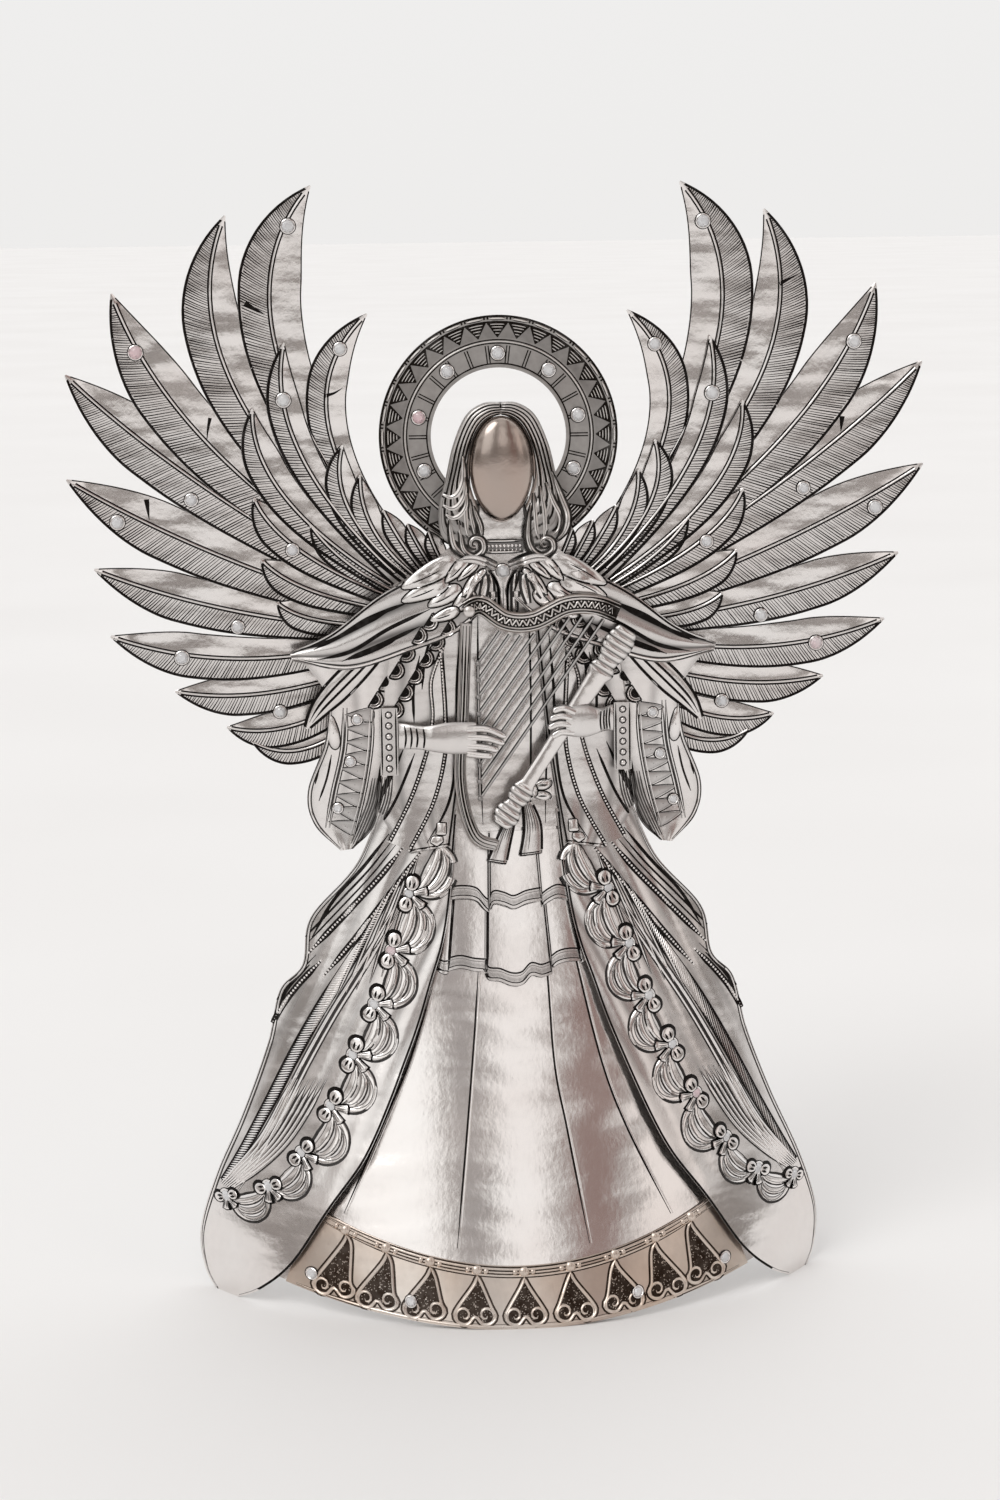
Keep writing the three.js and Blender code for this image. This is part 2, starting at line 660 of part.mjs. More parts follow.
function addSash() {
  const middle = waistTop + sashLift;
  addPart('sash_bow', sheetPatch({
    columns: 6,
    rows: 2,
    layer: cloakLayer,
    place: (u, v) => {
      const side = u * 2 - 1;
      const half = sashHalfHeight * THREE.MathUtils.lerp(sashWaistShare, 1, Math.abs(side));
      return [sashOffset + side * sashHalfWidth, middle + (v * 2 - 1) * half];
    },
    thick: (u, v) => sheet + relief * Math.sin(Math.PI * v),
  }), silver);

  const tailTop = middle - sashHalfHeight - seam;
  addPart('sash_tails', sheetPatch({
    columns: 4,
    rows: 4,
    layer: cloakLayer,
    place: (u, v) => {
      const half = sashTailWidth * THREE.MathUtils.lerp(sashWaistShare, 1, v);
      return [sashOffset + (u * 2 - 1) * half - sashDrift * v, tailTop - sashTailLength * v];
    },
  }), silver);
}

// Rolled tin cone, open at both ends, whose back runs straight up the spine
function addCone() {
  const back = -spineLayer * pitch - sheet - seam;
  const loops = [
    [coneMouth, coneFoot, coneMouth], [coneTip, coneTop, coneTip],
    [coneTip - coneWall, coneTop, coneTip], [coneMouth - coneWall, coneFoot, coneMouth],
  ];
  const points = [];
  const triangles = [];
  for (const [radius, z, outer] of loops) {
    for (let k = 0; k < fineCount; k += 1) {
      const turn = (2 * Math.PI * k) / fineCount;
      points.push([radius * Math.sin(turn), back - outer + radius * Math.cos(turn), z]);
    }
  }
  for (let loop = 0; loop < loops.length; loop += 1) {
    const next = (loop + 1) % loops.length;
    for (let k = 0; k < fineCount; k += 1) {
      const after = (k + 1) % fineCount;
      triangles.push([loop * fineCount + k, loop * fineCount + after, next * fineCount + after]);
      triangles.push([loop * fineCount + k, next * fineCount + after, next * fineCount + k]);
    }
  }
  addPart('tree_cone', closedGeometry(points, triangles), silver);
}

function addSpine() {
  const strip = (halfWidth, foot, top, layer) => sheetPatch({
    columns: 2,
    rows: 2,
    layer,
    surface: flatDepth,
    place: (u, v) => [(u * 2 - 1) * halfWidth, THREE.MathUtils.lerp(foot, top, v)],
  });
  addPart('spine', strip(spineHalf, spineFoot, spineTop, spineLayer), silver);
  addPart('wing_bar', strip(barHalf, barFoot, barFoot + barHeight, haloLayer), silver);

  // Two posts hold the torso plate off the wing bar
  const postRise = barFoot + barHeight / 2;
  const postBack = haloLayer * pitch + sheet + seam;
  const postFront = bodyDepth(spacerOffset + spacerRadius, postRise) + bodiceLayer * pitch - seam;
  const post = new THREE.CylinderGeometry(spacerRadius, spacerRadius, postFront - postBack, 12);
  for (const [name, side] of [['spacer_right', 1], ['spacer_left', -1]]) {
    addPart(name, post, silver).position.set(side * spacerOffset, -(postFront + postBack) / 2, postRise);
  }

  const profile = rivetDomeShares.map(([r, y]) => new THREE.Vector2(r * rivetRadius, y * rivetHead));
  rivetShares.forEach(([x, z], k) => {
    const rivet = addPart(`rivet_${k + 1}`, new THREE.LatheGeometry(profile, 12), silver);
    rivet.position.set(x * reach, -spineLayer * pitch + rivetSeat, z * height);
  });
}

// Flat-backed cut crystal that faces the front
function addGem(name, x, z, depth) {
  const profile = [[0, 0], [gemRadius, 0], [gemRadius, gemGirdle], [gemTable, gemHeight], [0, gemHeight]];
  const geometry = new THREE.LatheGeometry(profile.map(([r, y]) => new THREE.Vector2(r, y)), 8);
  const gem = addPart(name, geometry, crystal);
  gem.rotation.x = Math.PI;
  gem.position.set(x, -depth, z);
}

function addGems() {
  const haloFront = haloLayer * pitch + sheet + seam;
  for (let k = 0; k < haloGemCount; k += 1) {
    const turn = (k - (haloGemCount - 1) / 2) * haloGemTurn;
    const x = haloGemRadius * Math.sin(turn);
    const z = headRise + haloLift + haloGemRadius * Math.cos(turn);
    addGem(`halo_crystal_${k + 1}`, x, z, haloFront);
  }
  const collarGemRise = headRise - collarGemDrop;
  const collarDepth = bodyDepth(0, collarGemRise) + bodiceLayer * pitch + sheet + seam;
  addGem('collar_crystal', 0, collarGemRise, collarDepth);
  wingGems.forEach(({ shares: [x, z], layer }, k) => {
    const depth = (layer + 1) * pitch;
    addGem(`wing_crystal_right_${k + 1}`, x * reach, z * height, depth);
    addGem(`wing_crystal_left_${k + 1}`, -x * reach, z * height, depth);
  });
}

addWings();
addHalo();
addHead();
addBodice();
addClothing();
addHands();
addHarp();
addStrings();
addSkirt();
addTiers();
addSash();
addCone();
addSpine();
addGems();

// The origin lies under the middle of the whole figure
const frontReach = hemDepth + covertLayer * pitch + sheet;
const backReach = rivetSeat + rivetHead - spineLayer * pitch;
group.position.y = (frontReach - backReach) / 2;

export default group;
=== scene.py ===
# Angel tree topper of embossed silver sheet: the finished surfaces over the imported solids
from math import cos, pi, radians, sin

import bpy
import numpy as np
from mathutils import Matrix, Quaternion, Vector
from mathutils.bvhtree import BVHTree


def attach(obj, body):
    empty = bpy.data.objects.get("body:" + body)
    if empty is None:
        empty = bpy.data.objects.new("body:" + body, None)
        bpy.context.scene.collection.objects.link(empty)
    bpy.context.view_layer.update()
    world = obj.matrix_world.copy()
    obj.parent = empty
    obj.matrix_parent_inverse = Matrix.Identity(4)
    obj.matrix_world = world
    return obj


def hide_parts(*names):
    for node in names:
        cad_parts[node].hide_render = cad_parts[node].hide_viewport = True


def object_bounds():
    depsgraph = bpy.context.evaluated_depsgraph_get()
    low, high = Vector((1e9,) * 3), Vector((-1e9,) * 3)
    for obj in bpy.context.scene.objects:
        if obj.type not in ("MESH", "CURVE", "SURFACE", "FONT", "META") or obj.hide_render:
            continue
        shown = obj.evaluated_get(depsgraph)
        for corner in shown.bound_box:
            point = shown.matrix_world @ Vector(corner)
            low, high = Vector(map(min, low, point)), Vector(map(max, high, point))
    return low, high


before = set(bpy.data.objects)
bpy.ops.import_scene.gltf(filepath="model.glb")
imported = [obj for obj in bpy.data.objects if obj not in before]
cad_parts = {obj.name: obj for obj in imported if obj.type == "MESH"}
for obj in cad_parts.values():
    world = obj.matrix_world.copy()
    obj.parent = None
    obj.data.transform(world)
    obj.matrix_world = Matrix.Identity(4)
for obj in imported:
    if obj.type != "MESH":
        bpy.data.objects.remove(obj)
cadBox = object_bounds()
chance = np.random.default_rng(11)
mm = 0.001  # sizes below are millimetres, and x, depth, z are the figure's own axes

# The rounded surface that the sheets lie on, and the layers in front of the wing plane
body = {
    "height": 326.0, "reach": 127.0, "hemDepth": 60.0, "turn": 1.05,
    "plane": 29.05,  # the wing plane's place along y
    "sheet": 0.8, "pitch": 1.4,
    "depth": [(0, 1), (0.11, 0.75), (0.22, 0.51), (0.33, 0.31), (0.4, 0.19), (0.46, 0.13), (0.58, 0.1),
              (0.66, 0.08), (0.72, 0.04), (0.8, 0.02), (1, 0.02)],
    "width": [(0, 0.775), (0.06, 0.765), (0.11, 0.73), (0.163, 0.67), (0.22, 0.615), (0.28, 0.58),
              (0.34, 0.525), (0.4, 0.49), (0.46, 0.49), (0.58, 0.53), (0.66, 0.48), (0.72, 0.36),
              (1, 0.32)],
    "layers": {"halo": -1, "wing": 0, "covert": 1, "bodice": 2, "head": 3, "cloak": 3, "robe": 4,
               "sleeve": 5, "cape": 6, "harp": 7, "pillar": 8, "hand": 9},
}
bothSides = ((1, "right"), (-1, "left"))
lineGain = 1.22  # dark lines are drawn this much wider than their given width
sharpAngle = 38  # degrees between two faces, above which their edge looks sharp
hammer = {"rise": 0.1, "pitch": 9.5, "sway": 0.09}  # long low ripples of the hammered sheet


def follow(table, place):
    keys, values = np.array(table, float).T
    slopes = np.empty(len(keys))
    slopes[1:-1] = (values[2:] - values[:-2]) / (keys[2:] - keys[:-2])
    slopes[0] = (values[1] - values[0]) / (keys[1] - keys[0])
    slopes[-1] = (values[-1] - values[-2]) / (keys[-1] - keys[-2])
    at = np.clip(place, keys[0], keys[-1])
    i = np.clip(np.searchsorted(keys, at) - 1, 0, len(keys) - 2)
    span = keys[i + 1] - keys[i]
    t = (at - keys[i]) / span
    rise = values[i + 1] - values[i]
    start, end = slopes[i] * span, slopes[i + 1] * span
    return values[i] + t * (start + t * (3 * rise - 2 * start - end + t * (start + end - 2 * rise)))


def spline(points, t):
    p = np.array(points, float)
    at = np.clip(np.asarray(t, float), 0, 1) * (len(p) - 1)
    i = np.clip(np.floor(at).astype(int), 0, len(p) - 2)
    w = (at - i)[..., None]
    p0, p1, p2, p3 = p[np.maximum(i - 1, 0)], p[i], p[i + 1], p[np.minimum(i + 2, len(p) - 1)]
    v0, v1 = (p2 - p0) / 2, (p3 - p1) / 2
    return (2 * p1 - 2 * p2 + v0 + v1) * w**3 + (3 * p2 - 3 * p1 - 2 * v0 - v1) * w**2 + v0 * w + p1


def smooth(t, start=0.0, end=1.0):
    t = np.clip((np.asarray(t, float) - start) / (end - start), 0, 1)
    return t * t * (3 - 2 * t)


def bodyDepth(x, z):
    level = z / body["height"]
    half = body["reach"] * follow(body["width"], level)
    across = np.minimum(np.abs(x) / half, 1) * sin(body["turn"])
    edge = cos(body["turn"])
    return body["hemDepth"] * follow(body["depth"], level) * (np.sqrt(1 - across**2) - edge) / (1 - edge)


def ripple(x, z, rise=hammer["rise"], pitch=hammer["pitch"]):
    strength = rise * (0.62 + 0.38 * np.sin(0.045 * x + 0.083 * z + 1.1))
    short = np.sin(2 * pi * z / pitch + 2.2 * np.sin(x * hammer["sway"]) + 0.04 * x)
    long = np.sin(2 * pi * z / pitch / 1.83 - 0.13 * x + 1.8 * np.sin(0.05 * x + 1) + 2)
    return strength * (0.6 * short + 0.75 * long)


def layerDepth(name):
    return body["layers"][name] * body["pitch"]


def inShares(shares):
    return [(x * body["reach"], z * body["height"]) for x, z in shares]


def ruled(first, second, side=1):
    # u crosses from the first line to the second, and v runs along them
    def place(u, v):
        a, b = spline(first, v), spline(second, v)
        point = a + (b - a) * u[..., None]
        return side * point[..., 0], point[..., 1]
    return place


def between(inner, outer, side=1):
    # as ruled, for lines in shares, and never below the hem's plane
    place = ruled(inShares(inner), inShares(outer), side)

    def aboveFloor(u, v):
        x, z = place(u, v)
        return x, np.maximum(z, 0)
    return aboveFloor


def onBody(rise):
    # a surface that follows the body at one height above it
    return lambda x, z, u, v: bodyDepth(x, z) + rise


def lineOn(place, share, along):
    # the line that a surface has at one share of its width
    return np.column_stack(place(np.full(len(along), share), along))


def halfRound(u, low=0.0):
    # the height of a half round section at a share of its width
    return np.sqrt(np.clip(1 - (2 * u - 1)**2, low, 1))


def pathBetween(edges, share):
    first, last = np.array(edges, float)
    return first * (1 - share) + last * share


def turned(angle, side):
    return angle if side > 0 else 180 - angle


def gridFaces(high, wide, closed):
    # the first two corners' numbers, and all four, for each face of a grid of points
    j, i = np.meshgrid(np.arange(high if closed else high - 1), np.arange(wide - 1), indexing="ij")
    a, b = (j * wide + i).ravel(), (((j + 1) % high) * wide + i).ravel()
    return a, b, np.column_stack([a, a + 1, b + 1, b])


def ringFaces(sides, bands):
    # the pairs of neighbours round one ring of points, and the faces of the bands between rings
    around = [(k, (k + 1) % sides) for k in range(sides)]
    return around, [(low + a, low + b, low + sides + b, low + sides + a)
                    for low in range(0, bands * sides, sides) for a, b in around]


def resample(path, step, closed=False, smoothed=True):
    p = np.array(path, float)
    if closed:
        p = np.vstack([p, p[:1]])
    if smoothed and len(p) > 2:
        p = spline(p, np.linspace(0, 1, 12 * len(p)))
    length = np.concatenate([[0], np.cumsum(np.hypot(*np.diff(p, axis=0).T))])
    count = max(int(round(length[-1] / step)), 2)
    at = np.linspace(0, length[-1], count + 1)
    return np.column_stack([np.interp(at, length, p[:, 0]), np.interp(at, length, p[:, 1])])


def flipped(path, side):
    return np.array(path, float) * (side, 1)


def arc(centre, radius, start, end, count):
    turn = np.radians(np.linspace(start, end, count))
    return np.column_stack([centre[0] + radius * np.cos(turn), centre[1] + radius * np.sin(turn)])


def leaf(centre, length, width, angle, point=1.0):
    # outline of a petal: round at its start, narrower towards its end
    turn = np.linspace(0, 2 * pi, 20, endpoint=False)
    along = length / 2 * np.cos(turn)
    across = width / 2 * np.sin(turn) * (1 - 0.35 * point * np.cos(turn))
    a = radians(angle)
    return np.column_stack([centre[0] + along * cos(a) - across * sin(a),
                            centre[1] + along * sin(a) + across * cos(a)])


def spiral(centre, radius, turns, start, way=1):
    t = np.linspace(0, 1, 26)
    turn = radians(start) + way * 2 * pi * turns * t
    r = radius * (1 - 0.82 * t)
    return np.column_stack([centre[0] + r * np.cos(turn), centre[1] + r * np.sin(turn)])


def putIn(name, data):
    thing = bpy.data.objects.new(name, data)
    bpy.context.collection.objects.link(thing)
    return thing


class Piece:
    # collects one object's surfaces; tone runs from bright metal at 0 to dark at 1: the dark patina of the
    # lines, and in some places painted shade
    def __init__(self, name):
        self.name, self.count = name, 0
        self.points, self.faces, self.tones = [], [], []
        self.tree = None

    def add(self, points, faces, tone):
        points = np.asarray(points, float).reshape(-1, 3)
        self.points.append(points)
        self.tones.append(np.broadcast_to(np.asarray(tone, float).reshape(-1), (len(points),)))
        self.faces.extend((np.asarray(faces) + self.count).tolist())
        self.count += len(points)

    def addUnlike(self, points, faces, tone):
        # as add, for faces that don't all have the same number of corners
        self.add(points, np.zeros((0, 4), int), tone)
        low = self.count - len(points)
        self.faces.extend([[low + corner for corner in face] for face in faces])

    def grid(self, x, z, depth, tone, flip=False, closed=False):
        quads = gridFaces(*x.shape, closed)[2]
        self.add(np.stack([x, depth, z], -1), quads[:, ::-1] if flip else quads,
                 np.broadcast_to(tone, x.shape))

    def sheet(self, place, columns, rows, front, back, tone=0.0, closed=False):
        v, u = np.meshgrid(np.linspace(0, 1, rows + 1), np.linspace(0, 1, columns + 1), indexing="ij")
        if closed:
            u, v = u[:-1], v[:-1]
        x, z = place(u, v)
        top, under = front(x, z, u, v), back(x, z, u, v)
        shade = np.broadcast_to(tone(x, z, u, v) if callable(tone) else tone, x.shape)
        high, wide = x.shape
        count = high * wide
        a, b, skin = gridFaces(high, wide, closed)
        edges = []
        for k in range(high if closed else high - 1):
            low, up = k * wide, ((k + 1) % high) * wide
            edges += [(low + wide - 1, up + wide - 1), (up, low)]
        if not closed:
            last = (high - 1) * wide
            edges += [(k, k + 1) for k in range(wide - 1)]
            edges += [(last + k + 1, last + k) for k in range(wide - 1)]
        p, q = np.array(edges).T
        rim = np.column_stack([p, p + count, q + count, q])
        faces = np.vstack([skin, skin[:, ::-1] + count, rim])
        turn = (x.ravel()[a + 1] - x.ravel()[a]) * (z.ravel()[b] - z.ravel()[a])
        turn = turn - (z.ravel()[a + 1] - z.ravel()[a]) * (x.ravel()[b] - x.ravel()[a])
        if turn.sum() < 0:
            faces = faces[:, ::-1]
        points = np.concatenate([np.stack([x, top, z], -1).reshape(-1, 3),
                                 np.stack([x, under, z], -1).reshape(-1, 3)])
        self.add(points, faces, np.concatenate([shade.ravel(), np.full(count, 0.2)]))

    def strap(self, first, second, side, base, rise=0.35, tone=0.0, rows=40, edge=0.5):
        # a raised strip between two lines, with a dark line along each edge
        place = ruled(flipped(first, side), flipped(second, side))

        def front(x, z, u, v):
            return bodyDepth(x, z) + base + rise * halfRound(u)
        self.sheet(place, 8, rows, front, lambda x, z, u, v: bodyDepth(x, z) + base - 0.5,
                   lambda x, z, u, v: tone + 0.35 * np.abs(2 * u - 1)**6)
        self.settle()
        t = np.linspace(0, 1, 24)
        for share in (0.03, 0.97):
            self.stroke(lineOn(place, share, t), edge, ends=(1, 1), smoothed=False)
        return place

    def settle(self):
        # strokes and beads are laid on whatever has been added so far
        points = np.concatenate(self.points)
        self.tree = BVHTree.FromPolygons(points.tolist(), self.faces)

    def depthAt(self, x, z, fallback=None):
        found = np.empty(len(x))
        hits = np.zeros(len(x), bool)
        for k, (a, b) in enumerate(zip(x, z)):
            spot = self.tree.ray_cast((a, 200.0, b), (0.0, -1.0, 0.0))[0]
            if spot is not None:
                found[k], hits[k] = spot[1], True
            elif fallback is not None:
                found[k] = fallback[k]
            else:
                found[k] = self.tree.find_nearest((a, 90.0, b))[0][1]
        return found, hits

    def stroke(self, path, width, tone=1.0, rise=0.0, lift=0.05, ends=(0.3, 0.3), step=0.9,
               closed=False, smoothed=True, clip=True, widths=None, calm=0):
        # a line drawn on the surface: flat and dark, or a raised half-round cord
        # calm evens the depth out over that many steps each way
        p = resample(path, step, closed, smoothed)
        along = np.gradient(p, axis=0)
        if closed:
            along[0] = along[-1] = p[1] - p[-2]
        along /= np.maximum(np.hypot(*along.T), 1e-9)[:, None]
        s = np.linspace(0, 1, len(p))
        if closed:
            share = np.ones(len(p))
        else:
            opening = ends[0] + (1 - ends[0]) * smooth(s, 0, 0.2)
            share = opening * (ends[1] + (1 - ends[1]) * smooth(1 - s, 0, 0.2))
        wide = width * share if widths is None else np.interp(s, np.linspace(0, 1, len(widths)), widths)
        if not rise and tone > 0.7:
            wide = wide * lineGain
        middle, hits = self.depthAt(p[:, 0], p[:, 1])
        if rise:
            offsets, lifts = np.array([-0.5, -0.36, 0, 0.36, 0.5]), np.array([-0.08, 0.62, 1, 0.62, -0.08])
            full = np.ones(len(p)) if closed else np.minimum(1, np.minimum(s, 1 - s) * 14 + 0.15)
        else:
            offsets, lifts = np.array([-0.5, 0.5]), np.array([0.0, 0.0])
            full = np.ones(len(p))
        x = p[:, :1] + along[:, 1:] * offsets * wide[:, None]
        z = p[:, 1:] - along[:, :1] * offsets * wide[:, None]
        if calm:
            kernel = np.ones(2 * calm + 1) / (2 * calm + 1)
            base = np.convolve(np.pad(middle, calm, mode="edge"), kernel, "valid")[:, None] - 0 * x
            lifts[[0, -1]] = -1.2
        else:
            base = self.depthAt(x.ravel(), z.ravel(), np.repeat(middle, len(offsets)))[0].reshape(x.shape)
        depth = base + lift + lifts * rise * full[:, None]
        if not clip:
            hits[:] = True
        runs = np.flatnonzero(np.diff(np.concatenate([[0], hits.astype(int), [0]])))
        for start, end in zip(runs[::2], runs[1::2]):
            if end - start > 1:
                self.grid(x[start:end], z[start:end], depth[start:end], tone)

    def cord(self, path, width, rise=None, tone=0.0, edge=0.22, widths=None, **more):
        # raised cord with a thin dark line down each side
        if edge:
            wider = None if widths is None else [w + 2 * edge for w in widths]
            self.stroke(path, width + 2 * edge, tone=0.95, lift=0.03, widths=wider, **more)
        self.stroke(path, width, tone=tone, rise=rise or 0.45 * width, lift=0.04, widths=widths, **more)

    def bead(self, x, z, radius, tone=0.0, rise=0.8, sides=8, depth=None):
        if depth is None:
            depth = self.depthAt([x], [z])[0][0]
        turn = np.arange(sides) * 2 * pi / sides
        points = []
        for r, up in ((1.0, -0.05), (0.86, 0.5), (0.5, 0.86)):
            points += [(x + radius * r * cos(a), depth + radius * rise * up, z + radius * r * sin(a))
                       for a in turn]
        points.append((x, depth + radius * rise, z))
        around, faces = ringFaces(sides, 2)
        self.addUnlike(points, faces + [(2 * sides + a, 2 * sides + b, 3 * sides) for a, b in around], tone)

    def beads(self, path, radius, gap, tone=0.0, rise=0.8):
        p = resample(path, gap)
        depth, hits = self.depthAt(p[:, 0], p[:, 1])
        for (x, z), d, hit in zip(p, depth, hits):
            if hit:
                self.bead(x, z, radius, tone, rise, 6, d)

    def pillow(self, outline, rise, tone=0.0, line=0.35, rings=4, edgeTone=0.35, ground=None):
        # a raised cushion of metal inside a dark outline
        p = np.array(outline, float)
        area = np.sum(p[:, 0] * np.roll(p[:, 1], -1) - p[:, 1] * np.roll(p[:, 0], -1))
        if area < 0:
            p = p[::-1]
        centre = p.mean(0)
        share = np.sin(np.linspace(pi / 2, 0.05, rings + 1))[None, :, None]
        grid = centre + (p[:, None] - centre) * share
        x, z = grid[..., 0], grid[..., 1]
        if ground is None:
            middle = self.depthAt(centre[:1], centre[1:])[0]
            base = self.depthAt(x.ravel(), z.ravel(), np.repeat(middle, x.size))[0].reshape(x.shape)
        else:
            base = ground(x, z)
        up = rise * np.sqrt(np.clip(1 - share[0, :, 0]**2, 0, 1))
        shade = tone + edgeTone * share[0, :, 0]**4
        self.grid(x, z, base + 0.03 + up, np.broadcast_to(shade, x.shape), closed=True, flip=True)
        if line and ground is None:
            self.stroke(p, line, closed=True, step=0.7, lift=0.06)
        elif line:
            # the dark rim stands on the smooth ground too, and drops to the sheet at its outer side
            share = np.array([0.9, 1.0, 1.0 + 0.35 * line])[None, :, None]
            grid = centre + (p[:, None] - centre) * share
            x, z = grid[..., 0], grid[..., 1]
            self.grid(x, z, ground(x, z) + np.array([0.1, 0.12, -0.9]), 1.0, closed=True, flip=True)

    def rod(self, path, radius, sides, tone, edge):
        # a round wire through places [x, depth, z], with painted shade on its sides by edge
        p = np.array(path, float)
        along = np.gradient(p, axis=0)
        along /= np.linalg.norm(along, axis=1)[:, None]
        aside = np.cross(along, (0.0, 1.0, 0.0))
        aside /= np.linalg.norm(aside, axis=1)[:, None]
        out = np.cross(along, aside)
        turn = np.linspace(0, 2 * pi, sides, endpoint=False)
        across, above = np.cos(turn)[None, :, None], np.sin(turn)[None, :, None]
        rings = p[:, None] + radius * (aside[:, None] * across + out[:, None] * above)
        count, last = len(p) * sides, (len(p) - 1) * sides
        around, faces = ringFaces(sides, len(p) - 1)
        faces += [(b, a, count) for a, b in around] + [(last + a, last + b, count + 1) for a, b in around]
        facing = (rings[..., 1] - p[:, None, 1]) / radius
        tones = np.clip(tone + edge * (np.abs(facing - 0.17) < 0.67), 0, 1).ravel()
        self.addUnlike(np.vstack([rings.reshape(-1, 3), p[:1], p[-1:]]), faces,
                       np.concatenate([tones, [tone, tone]]))

    def make(self, material, *nodes, slot="silver_sheet", facets=False):
        points = np.concatenate(self.points)
        places = np.column_stack([points[:, 0], body["plane"] - points[:, 1], points[:, 2]]) * mm
        places = np.clip(places, *np.array(cadBox, float))  # no bead or cord stands outside the solids' box
        mesh = bpy.data.meshes.new(self.name)
        mesh.from_pydata(places.tolist(), [], self.faces)
        mesh.attributes.new("tone", "FLOAT", "POINT").data.foreach_set("value", np.concatenate(self.tones))
        mesh.polygons.foreach_set("use_smooth", [True] * len(mesh.polygons))
        mesh.set_sharp_from_angle(angle=radians(sharpAngle))
        mesh.materials.append(material)
        mesh.validate()
        if facets:
            mesh.polygons.foreach_set("use_smooth", [False] * len(mesh.polygons))
        thing = putIn(self.name, mesh)
        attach(thing, "root")
        if nodes:
            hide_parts(*nodes)
        print(self.name, len(mesh.polygons), "faces")


class Wire:
    # one socket, ready for sums
    def __init__(self, finish, socket):
        self.finish, self.socket = finish, socket

    def maths(self, operation, first, second=0.0):
        return self.finish.node("ShaderNodeMath", {"operation": operation}, {0: first, 1: second}, "Value")

    def __add__(self, other):
        return self.maths("ADD", self, other)

    def __sub__(self, other):
        return self.maths("SUBTRACT", self, other)

    def __rsub__(self, other):
        return self.maths("SUBTRACT", other, self)

    def __mul__(self, other):
        return self.maths("MULTIPLY", self, other)

    __radd__, __rmul__ = __add__, __mul__

    def unsigned(self):
        return self.maths("ABSOLUTE", self)

    def clamped(self):
        return self.maths("MINIMUM", self.maths("MAXIMUM", self, 0.0), 1.0)


class Finish:
    # builds one material's or world's nodes
    def __init__(self, tree):
        self.tree = tree
        tree.nodes.clear()

    def node(self, kind, settings=None, sockets=None, output=0):
        made = self.tree.nodes.new(kind)
        for key, value in (settings or {}).items():
            if key == "stops":
                ramp = made.color_ramp
                while len(ramp.elements) < len(value):
                    ramp.elements.new(0.5)
                for element, (place, colour) in zip(ramp.elements, value):
                    element.position, element.color = place, (*colour, 1)
            else:
                setattr(made, key, value)
        for key, value in (sockets or {}).items():
            if isinstance(value, Wire):
                self.tree.links.new(value.socket, made.inputs[key])
            elif isinstance(value, tuple) and len(value) == 3 and made.inputs[key].type == "RGBA":
                made.inputs[key].default_value = (*value, 1)
            else:
                made.inputs[key].default_value = value
        return Wire(self, made.outputs[output]) if output is not None else made

    def mixed(self, share, first, second):
        return self.node("ShaderNodeMix", {"data_type": "RGBA"}, {0: share, 6: first, 7: second}, 2)

    def finish(self, shader, kind="Material"):
        self.node("ShaderNodeOutput" + kind, {}, {"Surface": shader}, None)

    def noise(self, scale, detail=2.0, stretch=(1, 1, 1)):
        at = self.node("ShaderNodeTexCoord", output="Object")
        if stretch != (1, 1, 1):
            at = self.node("ShaderNodeMapping", {}, {"Vector": at, "Scale": stretch}, "Vector")
        return self.node("ShaderNodeTexNoise", {}, {"Vector": at, "Scale": scale, "Detail": detail}, "Fac")


def startMaterial(name):
    material = bpy.data.materials.new(name)
    material.use_nodes = True
    return material, Finish(material.node_tree)


# scale, detail and stretch of each noise, and how much of it goes into the bumps
grain = {"grime": (420, 4), "cloud": (38, 2), "waves": (20, 2, (1, 1, 5.5)),
         "rolled": (900, 2, (1, 1, 0.35)),
         "grimeRise": 0.05, "rolledRise": 0.02, "cutDepth": 0.02}
crystal = {"cloud": (160, 1), "rough": 0.01, "cloudRough": 0.03, "bend": 1.85, "through": 0.4}


def metal(name, bright, dark, rough, darkRough, ripples, warm, stain):
    # bright and warm alternate on the open metal, dark fills the lines and the painted shade that tone
    # carries, and stain clouds both
    material, f = startMaterial(name)
    tone = f.node("ShaderNodeAttribute", {"attribute_name": "tone"}, output="Fac")
    grime, cloud = f.noise(*grain["grime"]), f.noise(*grain["cloud"])
    shade = (tone + stain * (grime - 0.5) + 0.5 * stain * (cloud - 0.5)).clamped()
    sheen = f.mixed((cloud * 1.6 - 0.3).clamped(), bright, warm)
    waves, rolled = f.noise(*grain["waves"]), f.noise(*grain["rolled"])
    height = waves * ripples + grime * grain["grimeRise"] + rolled * grain["rolledRise"]
    height = height - tone * grain["cutDepth"]
    bump = f.node("ShaderNodeBump", {}, {"Strength": 1.0, "Distance": 1 * mm, "Height": height}, "Normal")
    shader = f.node("ShaderNodeBsdfPrincipled", {}, {
        "Base Color": f.mixed(shade, sheen, dark), "Metallic": 1.0,
        "Roughness": rough + 0.1 * cloud + (darkRough - rough) * shade, "Normal": bump,
    }, "BSDF")
    f.finish(shader)
    return material


def glass(name, colour):
    material, f = startMaterial(name)
    cloud = f.noise(*crystal["cloud"])
    shader = f.node("ShaderNodeBsdfPrincipled", {}, {
        "Base Color": f.mixed(cloud, colour, (1, 1, 1)),
        "Roughness": crystal["rough"] + crystal["cloudRough"] * cloud,
        "IOR": crystal["bend"], "Transmission Weight": crystal["through"],
    }, "BSDF")
    f.finish(shader)
    return material


